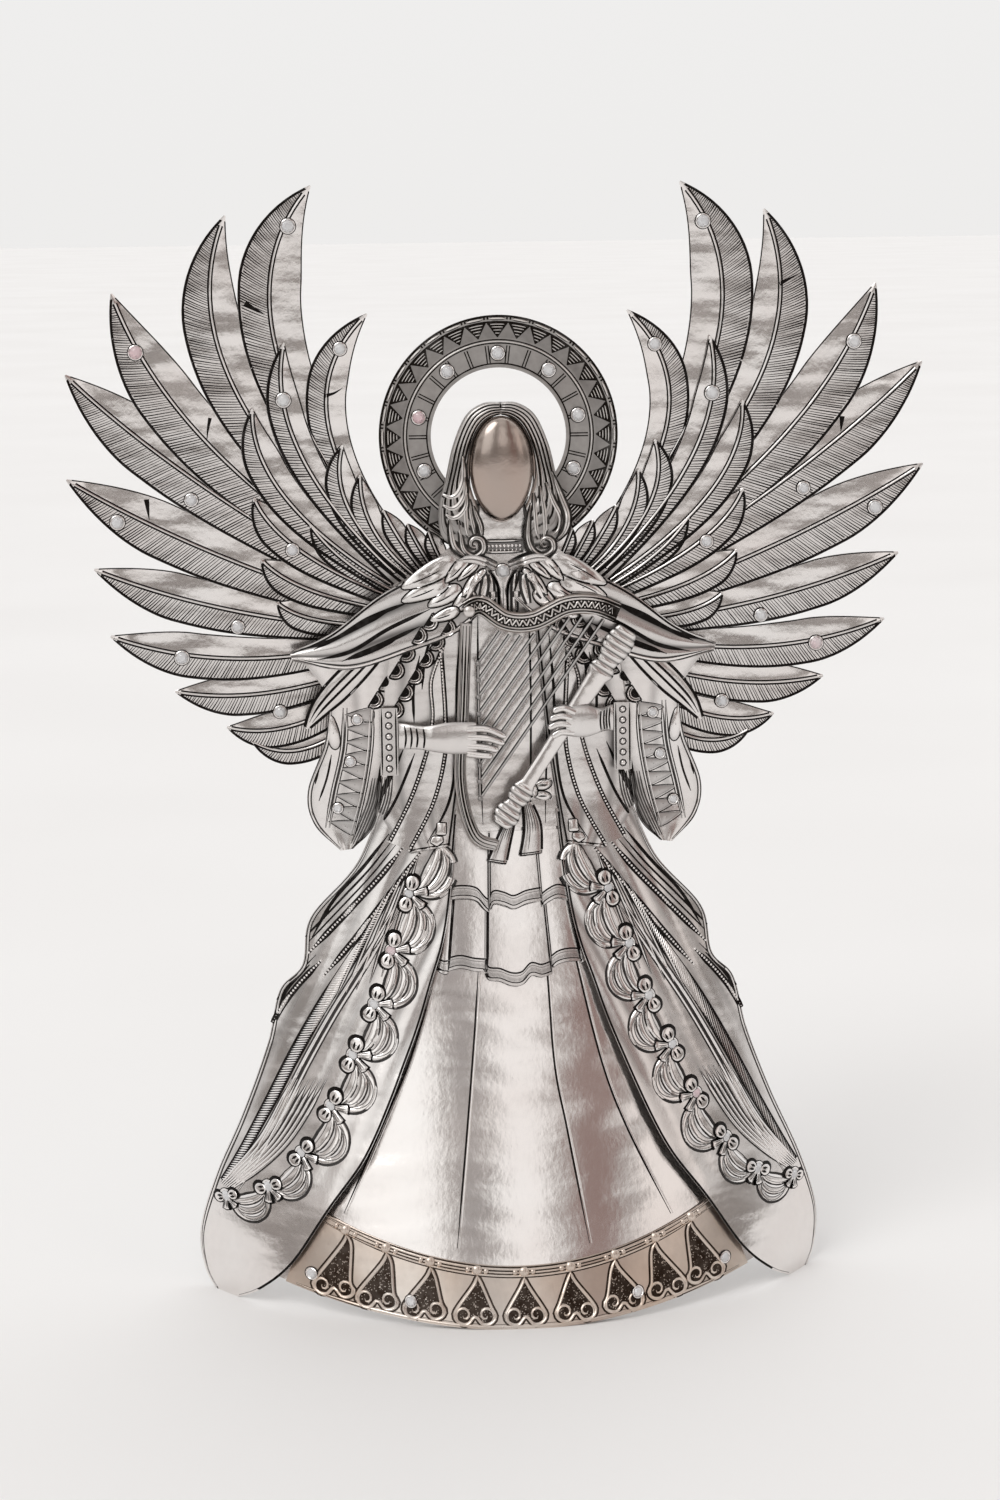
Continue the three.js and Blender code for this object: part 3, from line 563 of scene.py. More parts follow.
# name, bright and dark colour, roughness of each, height of the ripples, warm colour, strength of the stains
silver = metal("polished_silver", (0.86, 0.84, 0.825), (0.014, 0.012, 0.011), 0.12, 0.5, 0.36,
               (0.84, 0.79, 0.765), 0.1)
antique = metal("antique_silver", (0.74, 0.72, 0.7), (0.016, 0.013, 0.011), 0.24, 0.55, 0.2,
                (0.72, 0.67, 0.64), 0.25)
mirror = metal("mirror_silver", (0.44, 0.4, 0.37), (0.03, 0.026, 0.023), 0.15, 0.4, 0.12,
               (0.47, 0.37, 0.32), 0.04)
bronzed = metal("bronzed_silver", (0.74, 0.7, 0.66), (0.03, 0.018, 0.012), 0.24, 0.55, 0.2,
                (0.68, 0.54, 0.44), 0.2)
satin = metal("satin_back", (0.5, 0.49, 0.48), (0.06, 0.055, 0.05), 0.3, 0.6, 0.1, (0.46, 0.44, 0.42), 0.25)
clearGlass = glass("clear_crystal", (0.96, 0.97, 1.0))
roseGlass = glass("rose_crystal", (1.0, 0.6, 0.66))
print("finishes made")

# Wings
wing = {
    "feathers": [
        ((0.3, 0.887), (0.535, 0.803), (0.205, 0.66), 5.8, 5.6),
        ((0.423, 1), (0.69, 0.885), (0.236, 0.664), 9, 9),
        ((0.618, 0.975), (0.785, 0.83), (0.236, 0.653), 8.6, 8),
        ((0.88, 0.908), (0.757, 0.764), (0.252, 0.644), 9.4, 8),
        ((0.991, 0.837), (0.74, 0.738), (0.268, 0.632), 9, 8.6),
        ((0.997, 0.744), (0.683, 0.668), (0.283, 0.62), 8.4, 8),
        ((0.941, 0.663), (0.656, 0.615), (0.3, 0.604), 7, 7),
        ((0.909, 0.602), (0.64, 0.561), (0.3, 0.592), 6.6, 6.6),
        ((0.764, 0.55), (0.547, 0.533), (0.283, 0.574), 6, 6),
        ((0.646, 0.516), (0.488, 0.498), (0.276, 0.56), 5.5, 5),
        ((0.59, 0.503), (0.457, 0.469), (0.276, 0.545), 4, 4),
    ],
    "coverts": [
        ((0.491, 0.863), (0.551, 0.767), (0.236, 0.65), 5, 5),
        ((0.567, 0.805), (0.583, 0.724), (0.244, 0.641), 5.5, 5.5),
        ((0.569, 0.725), (0.52, 0.675), (0.252, 0.632), 5.5, 5.5),
        ((0.555, 0.669), (0.488, 0.638), (0.26, 0.62), 5, 5),
        ((0.522, 0.63), (0.457, 0.607), (0.268, 0.607), 4.6, 4.6),
        ((0.362, 0.771), (0.409, 0.712), (0.213, 0.65), 4.6, 4.6),
        ((0.323, 0.744), (0.331, 0.693), (0.197, 0.65), 4, 4),
        ((0.441, 0.7), (0.378, 0.663), (0.236, 0.635), 4, 4),
        ((0.272, 0.712), (0.236, 0.682), (0.17, 0.65), 3.2, 3.2),
        ((0.217, 0.699), (0.189, 0.675), (0.145, 0.65), 3, 3),
        ((0.168, 0.692), (0.15, 0.672), (0.12, 0.65), 2.8, 2.8),
    ],
    "thick": 0.42, "base": 0.52, "tilt": 0.2, "barbGap": 0.95, "barbWidth": 0.43, "sweep": 0.55,
    "taperFrom": 0.68, "tipHalf": 0.25,  # where a feather begins to narrow, and half its width at the tip
}


class Feather:
    def __init__(self, tip, bend, root, outer, inner, side, depth):
        self.tip, self.bend, self.root = (np.array(p) for p in inShares([tip, bend, root]))
        self.outer, self.inner, self.side, self.depth = outer, inner, side, depth
        ends = [self.quill(t)[0] for t in np.linspace(0, 1, 20)]
        self.length = float(np.sum(np.hypot(*np.diff(ends, axis=0).T)))

    def quill(self, s):
        s = np.asarray(s, float)[..., None]
        at = (1 - s)**2 * self.root + 2 * s * (1 - s) * self.bend + s**2 * self.tip
        along = (1 - s) * (self.bend - self.root) + s * (self.tip - self.bend)
        return at, along / np.linalg.norm(along, axis=-1, keepdims=True)

    def width(self, s, full):
        taper = 1 - (np.maximum(s - wing["taperFrom"], 0) / 0.32)**1.7
        return full * (0.6 + 0.4 * smooth(s, 0, 0.6)) * taper + wing["tipHalf"]

    def place(self, s, across):
        # across is the offset from the quill in millimetres, positive on the dark vane
        at, along = self.quill(s)
        return self.side * (at[..., 0] + along[..., 1] * across), at[..., 1] - along[..., 0] * across

    def vane(self, s, across):
        return np.where(across > 0, self.width(s, self.outer), self.width(s, self.inner))

    def reach(self, s, share):
        return share * self.vane(s, share)

    def front(self, s, across):
        share = across / self.vane(s, across)
        camber = 0.1 * (1 - share**2) + 0.1 * np.exp(-(across / 0.8)**2)
        return self.depth + wing["base"] + wing["tilt"] * share + camber

    def strip(self, piece, offsets, lifts, tone, start=0.02, end=0.97, edge=None, behind=False):
        s = np.linspace(start, end, 36)[:, None]
        across = np.array(offsets)[None, :] + (0 * s if edge is None else self.reach(s, edge))
        s = np.broadcast_to(s, across.shape)
        x, z = self.place(s, across)
        lifts = np.array(lifts)
        depth = self.front(s, across) + ripple(x, z) + (-wing["thick"] - lifts if behind else lifts)
        piece.grid(x, z, depth, tone, flip=(self.side < 0) != behind)

    def barbs(self, piece):
        count = int(self.length / wing["barbGap"])
        s0 = np.linspace(0.05, 0.965, count) + chance.uniform(-0.15, 0.15, count) / count
        start, end = 0.08, 1.0 - 0.14 * chance.random(count)
        t = np.linspace(0, 1, 5)
        share = start + (end - start)[:, None] * t
        half = wing["barbWidth"] / 2 / self.length * (0.55 + 0.45 * t)
        half = half * chance.uniform(0.6, 1.15, count)[:, None]
        lead = wing["sweep"] * self.width(s0, self.outer)[:, None] * share / self.length
        middle = s0[:, None] + lead * np.clip((1 - s0[:, None]) * 8, 0.2, 1)
        for k in range(count):
            s = np.clip(np.stack([middle[k] + half[k], middle[k] - half[k]], -1), 0, 0.995)
            across = self.reach(s, np.repeat(share[k][:, None], 2, 1))
            x, z = self.place(s, across)
            piece.grid(x, z, self.front(s, across) + 0.03 + ripple(x, z), 1.0, flip=self.side < 0)


def dressFeathers(name, rows, layer, side, steps, edge):
    piece = Piece(name)
    for row in rows:
        f = Feather(*row, side, layerDepth(layer))

        def place(u, v, f=f):
            return f.place(v, f.reach(v, u * 2 - 1))

        def front(x, z, u, v, f=f):
            return f.front(v, f.reach(v, u * 2 - 1)) + ripple(x, z)

        def back(x, z, u, v, f=f):
            return front(x, z, u, v, f) - wing["thick"]

        def tone(x, z, u, v):
            # the hatched vane is a little darker; each feather also darkens towards its root, painted shade
            # where it runs under the parts in front
            return np.where(u > 0.5, 0.14, 0.0) + 0.2 * (1 - smooth(v, 0, 0.3))
        piece.sheet(place, 12, steps, front, back, tone)
        f.barbs(piece)
        # the quill and its two dark sides, then the dark outlines, a painted shadow line along the edges
        # where the feathers overlap, and the same on the back
        f.strip(piece, (-0.72, -0.26), (0.03, 0.03), 1.0)
        f.strip(piece, (0.26, 0.8), (0.03, 0.03), 1.0)
        f.strip(piece, (-0.26, 0, 0.26), (0.02, 0.14, 0.02), 0.1)
        f.strip(piece, (-edge, 0), (0.035, 0.035), 1.0, 0.0, 0.985, 0.995)
        f.strip(piece, (0, 0.45 * edge), (0.035, 0.035), 1.0, 0.0, 0.985, -0.995)
        f.strip(piece, (-0.3, 0.3), (0.03, 0.03), 0.95, behind=True)
        f.strip(piece, (-0.45, 0), (0.03, 0.03), 0.95, 0.0, 0.985, 0.995, behind=True)
        f.strip(piece, (0, 0.35), (0.03, 0.03), 0.95, 0.0, 0.985, -0.995, behind=True)
    return piece


# dark cuts in the feathers of each side, wide where they start
slits = {1: [((102.2, 257), (102, 254.6), (101.8, 252.4), 1.3),
             ((83.2, 296), (85.8, 297.4), (88.5, 298.8), 0.9),
             ((74.2, 306.8), (74.5, 304.8), (75, 303.2), 0.9)],
         -1: [((103.6, 236.4), (103.3, 233.4), (103, 230.4), 1.3),
              ((73.4, 292.8), (70.8, 291.2), (67.8, 289.6), 1.2),
              ((84.4, 259.8), (85.1, 256.6), (85.5, 253.4), 0.9),
              ((51, 265.6), (48.1, 266.4), (45.7, 267.8), 0.9)]}
for side, label in bothSides:
    piece = dressFeathers("wing_sheet_" + label, wing["feathers"], "wing", side, 60, 0.8)
    piece.settle()
    for a, b, c, wide in slits[side]:
        piece.stroke(flipped([a, b, c], side), wide, widths=[wide, 0.6 * wide, 0.1], lift=0.1)
    piece.make(silver, "wing_" + label)
    piece = dressFeathers("covert_sheet_" + label, wing["coverts"], "covert", side, 40, 0.9)
    piece.make(silver, "coverts_" + label)
print("wings made")

# Halo
halo = {"centre": 253.0, "radius": 35.3, "bore": 20.0, "teeth": 32, "panels": 26, "tone": 0.5,
        "ridge": 27.6, "circles": ((35.0, 0.5), (33.3, 0.4), (28.1, 0.3), (27.1, 0.3), (21.2, 0.36)),
        "toothLines": (30.0, 30.9, 31.8, 32.6), "toothTip": 28.8}


def dressHalo():
    piece = Piece("halo_ring")
    base = layerDepth("halo")
    inner, outer = halo["bore"], halo["radius"]

    def ring(radius, turn):
        return radius * np.sin(turn), halo["centre"] + radius * np.cos(turn)

    def front(x, z, u, v):
        r = inner + u * (outer - inner)
        rims = 0.25 * (smooth(r, 33.2, 33.8) + 1 - smooth(r, 20.8, 21.4))
        return base + body["sheet"] + rims

    def tone(x, z, u, v):
        r = inner + u * (outer - inner)
        return halo["tone"] + 0.12 * smooth(r, 28, 29) * (1 - smooth(r, 33, 33.6))
    piece.sheet(lambda u, v: ring(inner + u * (outer - inner), -2 * pi * v), 48, 180, front,
                lambda x, z, u, v: np.full(x.shape, base), tone, closed=True)
    piece.settle()

    def circle(radius, width, **more):
        turn = np.linspace(0, 2 * pi, 120, endpoint=False)
        path = np.column_stack(ring(radius, turn))
        piece.stroke(path, width, closed=True, smoothed=False, step=1.2, **more)
    for radius, wide in halo["circles"]:
        circle(radius, wide)
    circle(halo["ridge"], 0.45, tone=0.0, rise=0.2)

    def spoke(turn, low, high, shift, width, **more):
        a, b = np.array(ring(low, turn)), np.array(ring(high, turn))
        aside = np.array([cos(turn), -sin(turn)]) * shift
        piece.stroke([a + aside, b + aside], width, ends=(1, 1), smoothed=False, **more)
    step = 2 * pi / halo["teeth"]
    for k in range(halo["teeth"]):
        turn = k * step
        spoke(turn, halo["toothTip"], 33.1, 0, 5, widths=[0.2, 5.4], lift=0.04)
        for radius in halo["toothLines"]:
            half = 2.3 * (radius - halo["toothTip"]) / 4.3 / radius
            piece.stroke(np.column_stack(ring(radius, np.linspace(turn - half, turn + half, 5))), 0.26,
                         tone=0.1, lift=0.09, ends=(0.6, 0.6))
        for shift in (-0.5, 0.5):
            spoke(turn + step / 2, 32.6, 35.1, shift, 0.42)
        bar = np.column_stack(ring(34.3, np.linspace(turn - 0.068, turn + 0.068, 6)))
        piece.cord(bar, 0.62, rise=0.25, edge=0.14, smoothed=False)
    for k in range(halo["panels"]):
        for shift in (-0.42, 0.42):
            spoke((k + 0.5) * 2 * pi / halo["panels"], 21.4, 26.5, shift, 0.3)
    piece.make(antique, "halo")


dressHalo()
print("halo made")

# Head
head = {"rise": 244.0, "halfWidth": 9.2, "halfHeight": 15.5, "thick": 6.0, "seam": 0.3, "strands": 5,
        "start": -0.75,
        # locks drawn one over the other, each with its width; the ends curl, and flick outwards on one side
        "leftLocks": [
            ([(-15.4, 229.6), (-15.2, 226.5), (-14.2, 221.8), (-11, 218.8)], 1.7),
            ([(-13, 229.4), (-12.4, 225.5), (-11.6, 221), (-8.6, 218.9), (-5.9, 220.8), (-6.2, 223.6),
              (-8.2, 224.4), (-9.6, 223.2), (-9.2, 221.6), (-8, 221.6)], 1.45),
            ([(-10.6, 237), (-10.8, 231), (-10.5, 226.5), (-9.9, 224.6)], 1.5),
            ([(-9.6, 235.5), (-9.2, 231), (-8.6, 227.5), (-8.3, 225.4)], 1.4),
            ([(-8.6, 233.5), (-7.6, 230.5), (-6.7, 228), (-6.3, 225)], 1.2),
            ([(-11.4, 248), (-11.3, 241.5), (-12.9, 237.4), (-15, 236.2), (-17.3, 237)], 2.0),
            ([(-10.9, 242), (-11, 237.2), (-12.8, 233.9), (-15, 232.9), (-17.3, 233.9)], 1.8),
            ([(-10.3, 237.4), (-10.8, 233.4), (-12.7, 230.8), (-14.8, 230.2), (-16.6, 231.2)], 1.6)],
        "rightLocks": [
            ([(9.3, 237), (9.6, 231), (9.9, 226.5), (10.6, 223.5)], 1.5),
            ([(11.2, 239), (12.2, 232), (12.4, 227), (12, 224)], 1.6),
            ([(8.6, 234), (7.7, 230), (7.3, 224), (8.8, 220.2), (11.8, 218.7), (14.6, 220.4), (14.4, 223),
              (12.5, 223.9), (11.2, 222.6), (11.8, 221.2), (12.8, 221.4)], 1.45),
            ([(14.6, 243), (17.4, 235.5), (19, 230.5), (18.3, 226), (15.9, 223)], 1.7),
            ([(12.9, 240), (14.9, 234.5), (17, 230), (16.6, 226.6), (14.9, 224.6)], 1.6)],
        # half the hair's outline, in shares of the face's half width and half height
        "hair": [(-1.035, -1.483), (-1.52, -1.44), (-1.935, -1.23), (-2.015, -0.767), (-1.77, -0.178),
                 (-1.52, 0.453), (-1.105, 1), (-0.55, 1.23), (0, 1.25)]}


def dressFace():
    piece = Piece("face_dome")
    hub, sides = 0.015, 72  # share of the dome that one flat fan closes, and its corners
    base = float(bodyDepth(0.0, head["rise"] - head["halfHeight"])) + layerDepth("head")

    def place(u, v):
        turn = 2 * pi * v
        wide = head["halfWidth"] * (1 - 0.1 * np.clip(-np.sin(turn), 0, 1)**2)
        share = 1 - u * (1 - hub)
        return wide * share * np.cos(turn), head["rise"] + head["halfHeight"] * share * np.sin(turn)

    def front(x, z, u, v):
        share = 1 - u * (1 - hub)
        return base + head["thick"] * (0.25 + 0.75 * np.sqrt(1 - share**2.4))
    piece.sheet(place, 22, sides, front, lambda x, z, u, v: np.full(x.shape, base), 0.0, closed=True)
    top = base + head["thick"] * (0.25 + 0.75 * np.sqrt(1 - hub**2.4))
    turn = 2 * pi * np.arange(sides) / sides
    rim = np.column_stack([hub * head["halfWidth"] * np.cos(turn), np.full(sides, top),
                           head["rise"] + hub * head["halfHeight"] * np.sin(turn)])
    fan = [(k, (k + 1) % sides, sides) for k in range(sides)]
    piece.add(np.vstack([rim, [(0, top, head["rise"])]]), fan, 0.0)
    piece.make(mirror, "face", slot="polished_face")


def dressHair():
    piece = Piece("hair_strands")
    outline = head["hair"] + [(-x, z) for x, z in head["hair"][-2::-1]]
    outer = [(x * head["halfWidth"], head["rise"] + z * head["halfHeight"]) for x, z in outline]

    def place(u, v):
        turn = pi - head["start"] - v * (pi - 2 * head["start"])
        cheek = np.stack([(head["halfWidth"] + head["seam"]) * np.cos(turn),
                          head["rise"] + (head["halfHeight"] + head["seam"]) * np.sin(turn)], -1)
        point = cheek + (spline(outer, v) - cheek) * u[..., None]
        return point[..., 0], point[..., 1]

    def sway(v):
        # the locks wave towards their ends
        return 0.03 * np.sin(v * 34) * (1 - smooth(np.minimum(v, 1 - v), 0.1, 0.3))

    def strand(u, v):
        return np.abs(np.sin(pi * head["strands"] * (u + sway(v))))

    def front(x, z, u, v):
        full = body["sheet"] + 2.7 * np.sin(pi * (0.15 + 0.7 * u))
        parting = 0.8 * np.exp(-((v - 0.5) / 0.012)**2) * u
        return bodyDepth(x, z) + layerDepth("head") + full + 0.35 * strand(u, v) - parting

    def tone(x, z, u, v):
        low = 1 - smooth(z, 228, 238)
        return 0.07 + 0.3 * (1 - strand(u, v))**2 + 0.6 * np.exp(-((v - 0.5) / 0.006)**2) * u + 0.4 * low
    piece.sheet(place, 70, 150, front, onBody(layerDepth("head")), tone)
    piece.settle()
    for low, high in ((0.09, 0.494), (0.506, 0.91)):
        v = np.linspace(low, high, 40)
        inner, rim = lineOn(place, 0.0, v), lineOn(place, 1.0, v)
        wide = np.hypot(*(rim - inner).T)
        broad = wide > 8  # only here is there room for the finer lines
        for k in range(1, 2 * head["strands"]):
            share = k / 2 / head["strands"]
            line = np.column_stack(place(share - sway(v), v))
            if k % 2 == 0:
                piece.stroke(line, 0.5, widths=np.clip(wide * 0.065, 0.32, 0.5), smoothed=False)
            else:
                piece.stroke(line[broad], 0.13, tone=0.8, smoothed=False)
        piece.cord(lineOn(place, 0.02, v), 0.55, rise=0.3, edge=0.18)
    piece.stroke([(0, 263), (0, 259.8)], 0.55)
    for paths in (head["leftLocks"], head["rightLocks"]):
        for path, wide in paths:
            piece.cord(path, wide, rise=0.42 * wide, edge=0.3, step=0.6, clip=False, calm=7,
                       widths=[0.2 * wide, 0.8 * wide, wide, wide, 0.35 * wide])
            piece.settle()
            piece.stroke(path, 0.2, lift=0.06, step=0.6, tone=0.85)
    piece.make(antique, "hair", slot="dark_relief")


collar = {"drop": 24.5, "half": 6.2, "height": 4.0, "beads": 10}


def dressCollar():
    piece = Piece("collar_band")
    low = head["rise"] - collar["drop"]

    def place(u, v):
        return (u * 2 - 1) * collar["half"], low + v * collar["height"]

    def front(x, z, u, v):
        return bodyDepth(x, z) + layerDepth("head") + body["sheet"]
    piece.sheet(place, 20, 6, front, onBody(layerDepth("head")), 0.75)
    piece.settle()
    for rise in (0.4, 3.6):
        piece.cord([(-6, low + rise), (0, low + rise - 0.1), (6, low + rise)], 0.5, rise=0.25)
    for x in np.linspace(-5.3, 5.3, collar["beads"]):
        piece.bead(x, low + 2, 0.55, rise=0.7)
        piece.bead(x, low + 0.9, 0.3, rise=0.6, sides=6)
    piece.make(silver, "collar")


dressFace()
dressHair()
dressCollar()
print("head made")

# Torso plate and neckline
torso = {"foot": 138.0, "top": 256.0,
         "half": [(0.423, 0.16), (0.46, 0.2), (0.506, 0.235), (0.567, 0.29), (0.613, 0.3), (0.644, 0.25),
                  (0.663, 0.17), (0.676, 0.13), (0.69, 0.085), (0.705, 0.052), (0.736, 0.055),
                  (0.785, 0.05)]}


def neckline(piece, side):
    # the front edges below the collar crystal
    piece.cord(flipped([(3.7, 213.2), (3.4, 209), (3.3, 200)], side), 1.35, rise=0.45, edge=0.4)
    for path in ([(5.6, 214), (5.8, 210), (7, 205)], [(8, 214.6), (9.2, 210.6), (11.2, 206.8)]):
        piece.cord(flipped(path, side), 1.5, rise=0.5, edge=0.4, widths=[0.8, 1.7, 1.7, 0.8])


def rolledEdge(piece, side):
    # one smooth band that climbs from the torso onto the drape
    upper = [(1.4, 216.6), (5.4, 218.7), (9, 219.6), (11.8, 219.3)]
    lower = [(2.6, 213.9), (6, 216.2), (9.2, 217.2), (12, 217.4)]
    place = ruled(upper, lower, side)

    def ground(x, z, v):
        low, high = layerDepth("bodice") + 1.2, layerDepth("cape") + 1.5
        return bodyDepth(x, z) + low + (high - low) * smooth(v, 0, 0.36)
    piece.sheet(place, 12, 30, lambda x, z, u, v: ground(x, z, v) + 0.35 * np.abs(np.sin(2 * pi * u)),
                lambda x, z, u, v: ground(x, z, v) - 0.5,
                lambda x, z, u, v: 0.05 + 0.75 * np.abs(np.cos(2 * pi * u))**9)
    piece.settle()
    t = np.linspace(0.03, 0.97, 20)
    for share in (0.04, 0.96):
        piece.stroke(lineOn(place, share, t), 0.42, ends=(1, 1), smoothed=False)


def dressTorso():
    piece = Piece("torso_plate")

    def place(u, v):
        z = torso["foot"] + v * (torso["top"] - torso["foot"])
        return (u * 2 - 1) * body["reach"] * follow(torso["half"], z / body["height"]), z

    def pleats(x, z):
        return np.cos(x * 0.8)**2 * smooth(z, 190, 204) * (1 - smooth(z, 204, 210))

    def front(x, z, u, v):
        return bodyDepth(x, z) + layerDepth("bodice") + body["sheet"] - 0.2 * pleats(x, z)

    def tone(x, z, u, v):
        shade = 0.2 * smooth(z, 196, 206) * (1 - smooth(z, 212, 216))
        return 0.06 + shade + 0.3 * pleats(x, z)**3
    piece.sheet(place, 70, 60, front, onBody(layerDepth("bodice")), tone)
    piece.settle()
    for side in (1, -1):
        rolledEdge(piece, side)
        neckline(piece, side)
        piece.stroke(flipped([(7.5, 203), (7.8, 175), (7.1, 139)], side), 0.5)
        for x, top in ((12.5, 200), (17, 200), (21.5, 198)):
            piece.stroke(flipped([(x, top), (x * 1.02, 175), (x * 0.92, 139)], side), 0.5)
    piece.strap([(-4.4, 214.4), (-1.7, 209.6), (-1.5, 199)], [(4.4, 214.4), (1.7, 209.6), (1.5, 199)], 1,
                layerDepth("bodice") + 1.0, rise=0.5, tone=0.05, rows=24, edge=0.55)
    piece.settle()
    piece.stroke([(0, 211), (0, 199)], 0.22, tone=0.8)
    piece.make(silver, "bodice")


# Shoulder cape
cape = {
    "top": [(0.055, 0.672), (0.15, 0.664), (0.28, 0.64), (0.4, 0.605), (0.497, 0.588)],
    "foot": [(0.02, 0.635), (0.11, 0.605), (0.22, 0.588), (0.36, 0.572), (0.49, 0.58)],
    "folds": [[(27, 206.5), (40, 201.5), (50, 195.5), (60, 192.5)],
              [(22, 204), (34, 198.5), (45, 192), (55, 189.5)],
              [(31, 211), (43, 206), (52, 200), (61, 193.5)], [(31, 196), (38, 192.5), (46, 189.5)],
              [(34, 203.5), (45, 198), (56, 192.5)], [(25, 199), (36, 194), (48, 189)]],
    # rolled leaf shaped folds: middle, length, width, slope
    "lobes": [((17.6, 207.6), 11, 4.4, -30), ((23.2, 209.4), 15, 5.0, -24), ((22, 214.4), 18, 5.6, -27),
              ((13.9, 215.2), 9.5, 3.4, -46),
              ((12.2, 206), 9, 4.4, -44), ((17.6, 202.2), 9, 3.4, -20),
              ((10, 210.8), 8, 2.6, -52), ((10.6, 214.8), 8, 2.2, -40), ((7.7, 212.8), 6.5, 2.0, -52)],
    "scallops": [[(22.6, 200.6), (25.9, 196.6)], [(17.4, 198.6)]],
}


def dressCape(side, label):
    piece = Piece("cape_sheet_" + label)
    place = between(cape["foot"], cape["top"], side)
    base = layerDepth("cape")

    def fold(u, v):
        return np.sin(pi * (2.6 * u + 0.25 * np.sin(5 * v)))**2 * smooth(v, 0.1, 0.4)

    def front(x, z, u, v):
        return bodyDepth(x, z) + base + body["sheet"] + 0.45 * fold(u, v)
    piece.sheet(place, 40, 80, front, onBody(base),
                lambda x, z, u, v: 0.2 + 0.6 * (1 - fold(u, v))**3 * smooth(v, 0.05, 0.3))
    piece.settle()
    for path in cape["folds"]:
        piece.stroke(flipped(path, side), 0.95, ends=(0.2, 0.15))
    for row in cape["scallops"]:
        scallopRow(piece, row, side)
    piece.stroke(flipped(inShares(cape["top"]), side) - (0, 0.7), 0.5)
    piece.cord(flipped(inShares(cape["foot"]), side) + (0, 0.8), 0.9, rise=0.3)
    for centre, long, wide, angle in cape["lobes"]:
        outline = leaf((side * centre[0], centre[1]), long, wide, turned(angle, side))
        piece.pillow(outline, 0.8, line=0.65, edgeTone=0.25)
        piece.settle()
        inside = leaf((side * centre[0], centre[1]), long * 0.6, wide * 0.2, turned(angle, side))
        piece.stroke(inside[:8], 0.3)
    neckline(piece, side)
    piece.make(silver, "cape_" + label)


# Robe panels, sleeves and cuffs
robe = {
    "inner": [(0.07, 0.625), (0.095, 0.52), (0.115, 0.46), (0.135, 0.41)],
    "outer": [(0.3, 0.6), (0.32, 0.52), (0.31, 0.45), (0.23, 0.404)],
    "scallops": [[(29.4, 191), (32.6, 186)],
                 [(20.6, 194.2), (23.9, 189.3), (27, 184.4), (30, 179.4), (33, 174.4)]],
    "scallopSize": 2.75,
    "tails": [[(18.2, 140.3), (20.8, 140.4), (21.2, 136.9), (18.3, 136.9)],
              [(19.4, 136.3), (22.2, 136.4), (23.1, 134.8), (21.1, 133.5), (19.2, 135)]],
    "stoleIn": [(18.2, 191.5), (17.5, 181.5), (17.1, 172), (17.3, 161), (21, 146.5), (28.5, 132.4)],
    "stoleOut": [(18.8, 192), (22.5, 182.5), (22.3, 171.5), (24.3, 161), (29.2, 147.5), (35.7, 135)],
    "roll": [[(35, 199), (43.5, 191), (51.5, 183.5), (57, 176), (59.5, 168.5)],
             [(31.5, 195.5), (39, 186), (46, 178.5), (52, 173.5), (57.5, 169)]],
    "folds": [[(13, 197), (14.3, 180), (14.6, 164), (17, 147), (24, 134.5)],
              [(25, 190), (27, 180), (27, 170)],
              [(27, 161), (32.5, 148), (38, 139)], [(30, 163), (35, 152), (40.5, 142)],
              [(33, 158), (37.5, 149), (41.5, 143)],
              [(21, 197), (23.5, 189), (24.5, 180)]],
}
sleeve = {
    "scallops": [[(35.8, 182.6), (39, 177.6)]], "lobe": ((50.8, 167.6), 10, 3.2, 84),
    "inner": [(0.265, 0.585), (0.283, 0.54), (0.287, 0.49), (0.295, 0.46), (0.31, 0.43), (0.36, 0.408)],
    "outer": [(0.475, 0.583), (0.41, 0.545), (0.42, 0.505), (0.462, 0.46), (0.45, 0.43), (0.39, 0.406)],
    "band": [[(39.5, 175), (40.2, 163), (42.5, 150), (46, 137)],
             [(47.2, 175), (47.9, 163), (50.9, 150), (53.2, 139)]],
    "gems": [(43.8, 171.5), (46, 159), (50, 145)],
    "shadow": [[(33.6, 154), (34.6, 147), (37.6, 139.5), (41.4, 133.5)],
               [(39.6, 154), (41.2, 147), (44, 140), (46.4, 134.5)]],
}
cuff = {"inner": 32.0, "width": 5.2, "foot": 155.0, "height": 20.0, "studs": 6}


def scallopRow(piece, path, side):
    # half round shells of two cords over a dark hollow, which bulge towards the harp
    p = flipped(path, side)
    size = robe["scallopSize"]
    along = np.array([0.54 * side, -0.84])
    aside = np.array([-0.84 * side, -0.54])
    t = np.linspace(0, pi, 13)[:, None]

    def shell(middle, share):
        return middle - along * share * size * np.cos(t) + aside * share * size * 1.15 * np.sin(t)
    for middle in p:
        piece.stroke(shell(middle, 1.0), 0.55, ends=(1, 1), smoothed=False)
        piece.pillow(shell(middle, 0.52), 0.1, tone=1.0, line=0, edgeTone=0)
        for share, wide in ((0.86, 0.5), (0.62, 0.42)):
            piece.cord(shell(middle, share), wide, rise=0.35, edge=0.16, smoothed=False)
        piece.stroke([middle - along * size, middle + along * size], 0.4, ends=(1, 1), smoothed=False)


def hatch(piece, edges, side):
    # fine dark lines that fill the shadow between two edges
    for share in np.linspace(0, 1, 9):
        piece.stroke(flipped(pathBetween(edges, share), side), 0.42, tone=0.9, ends=(0.5, 0.5))


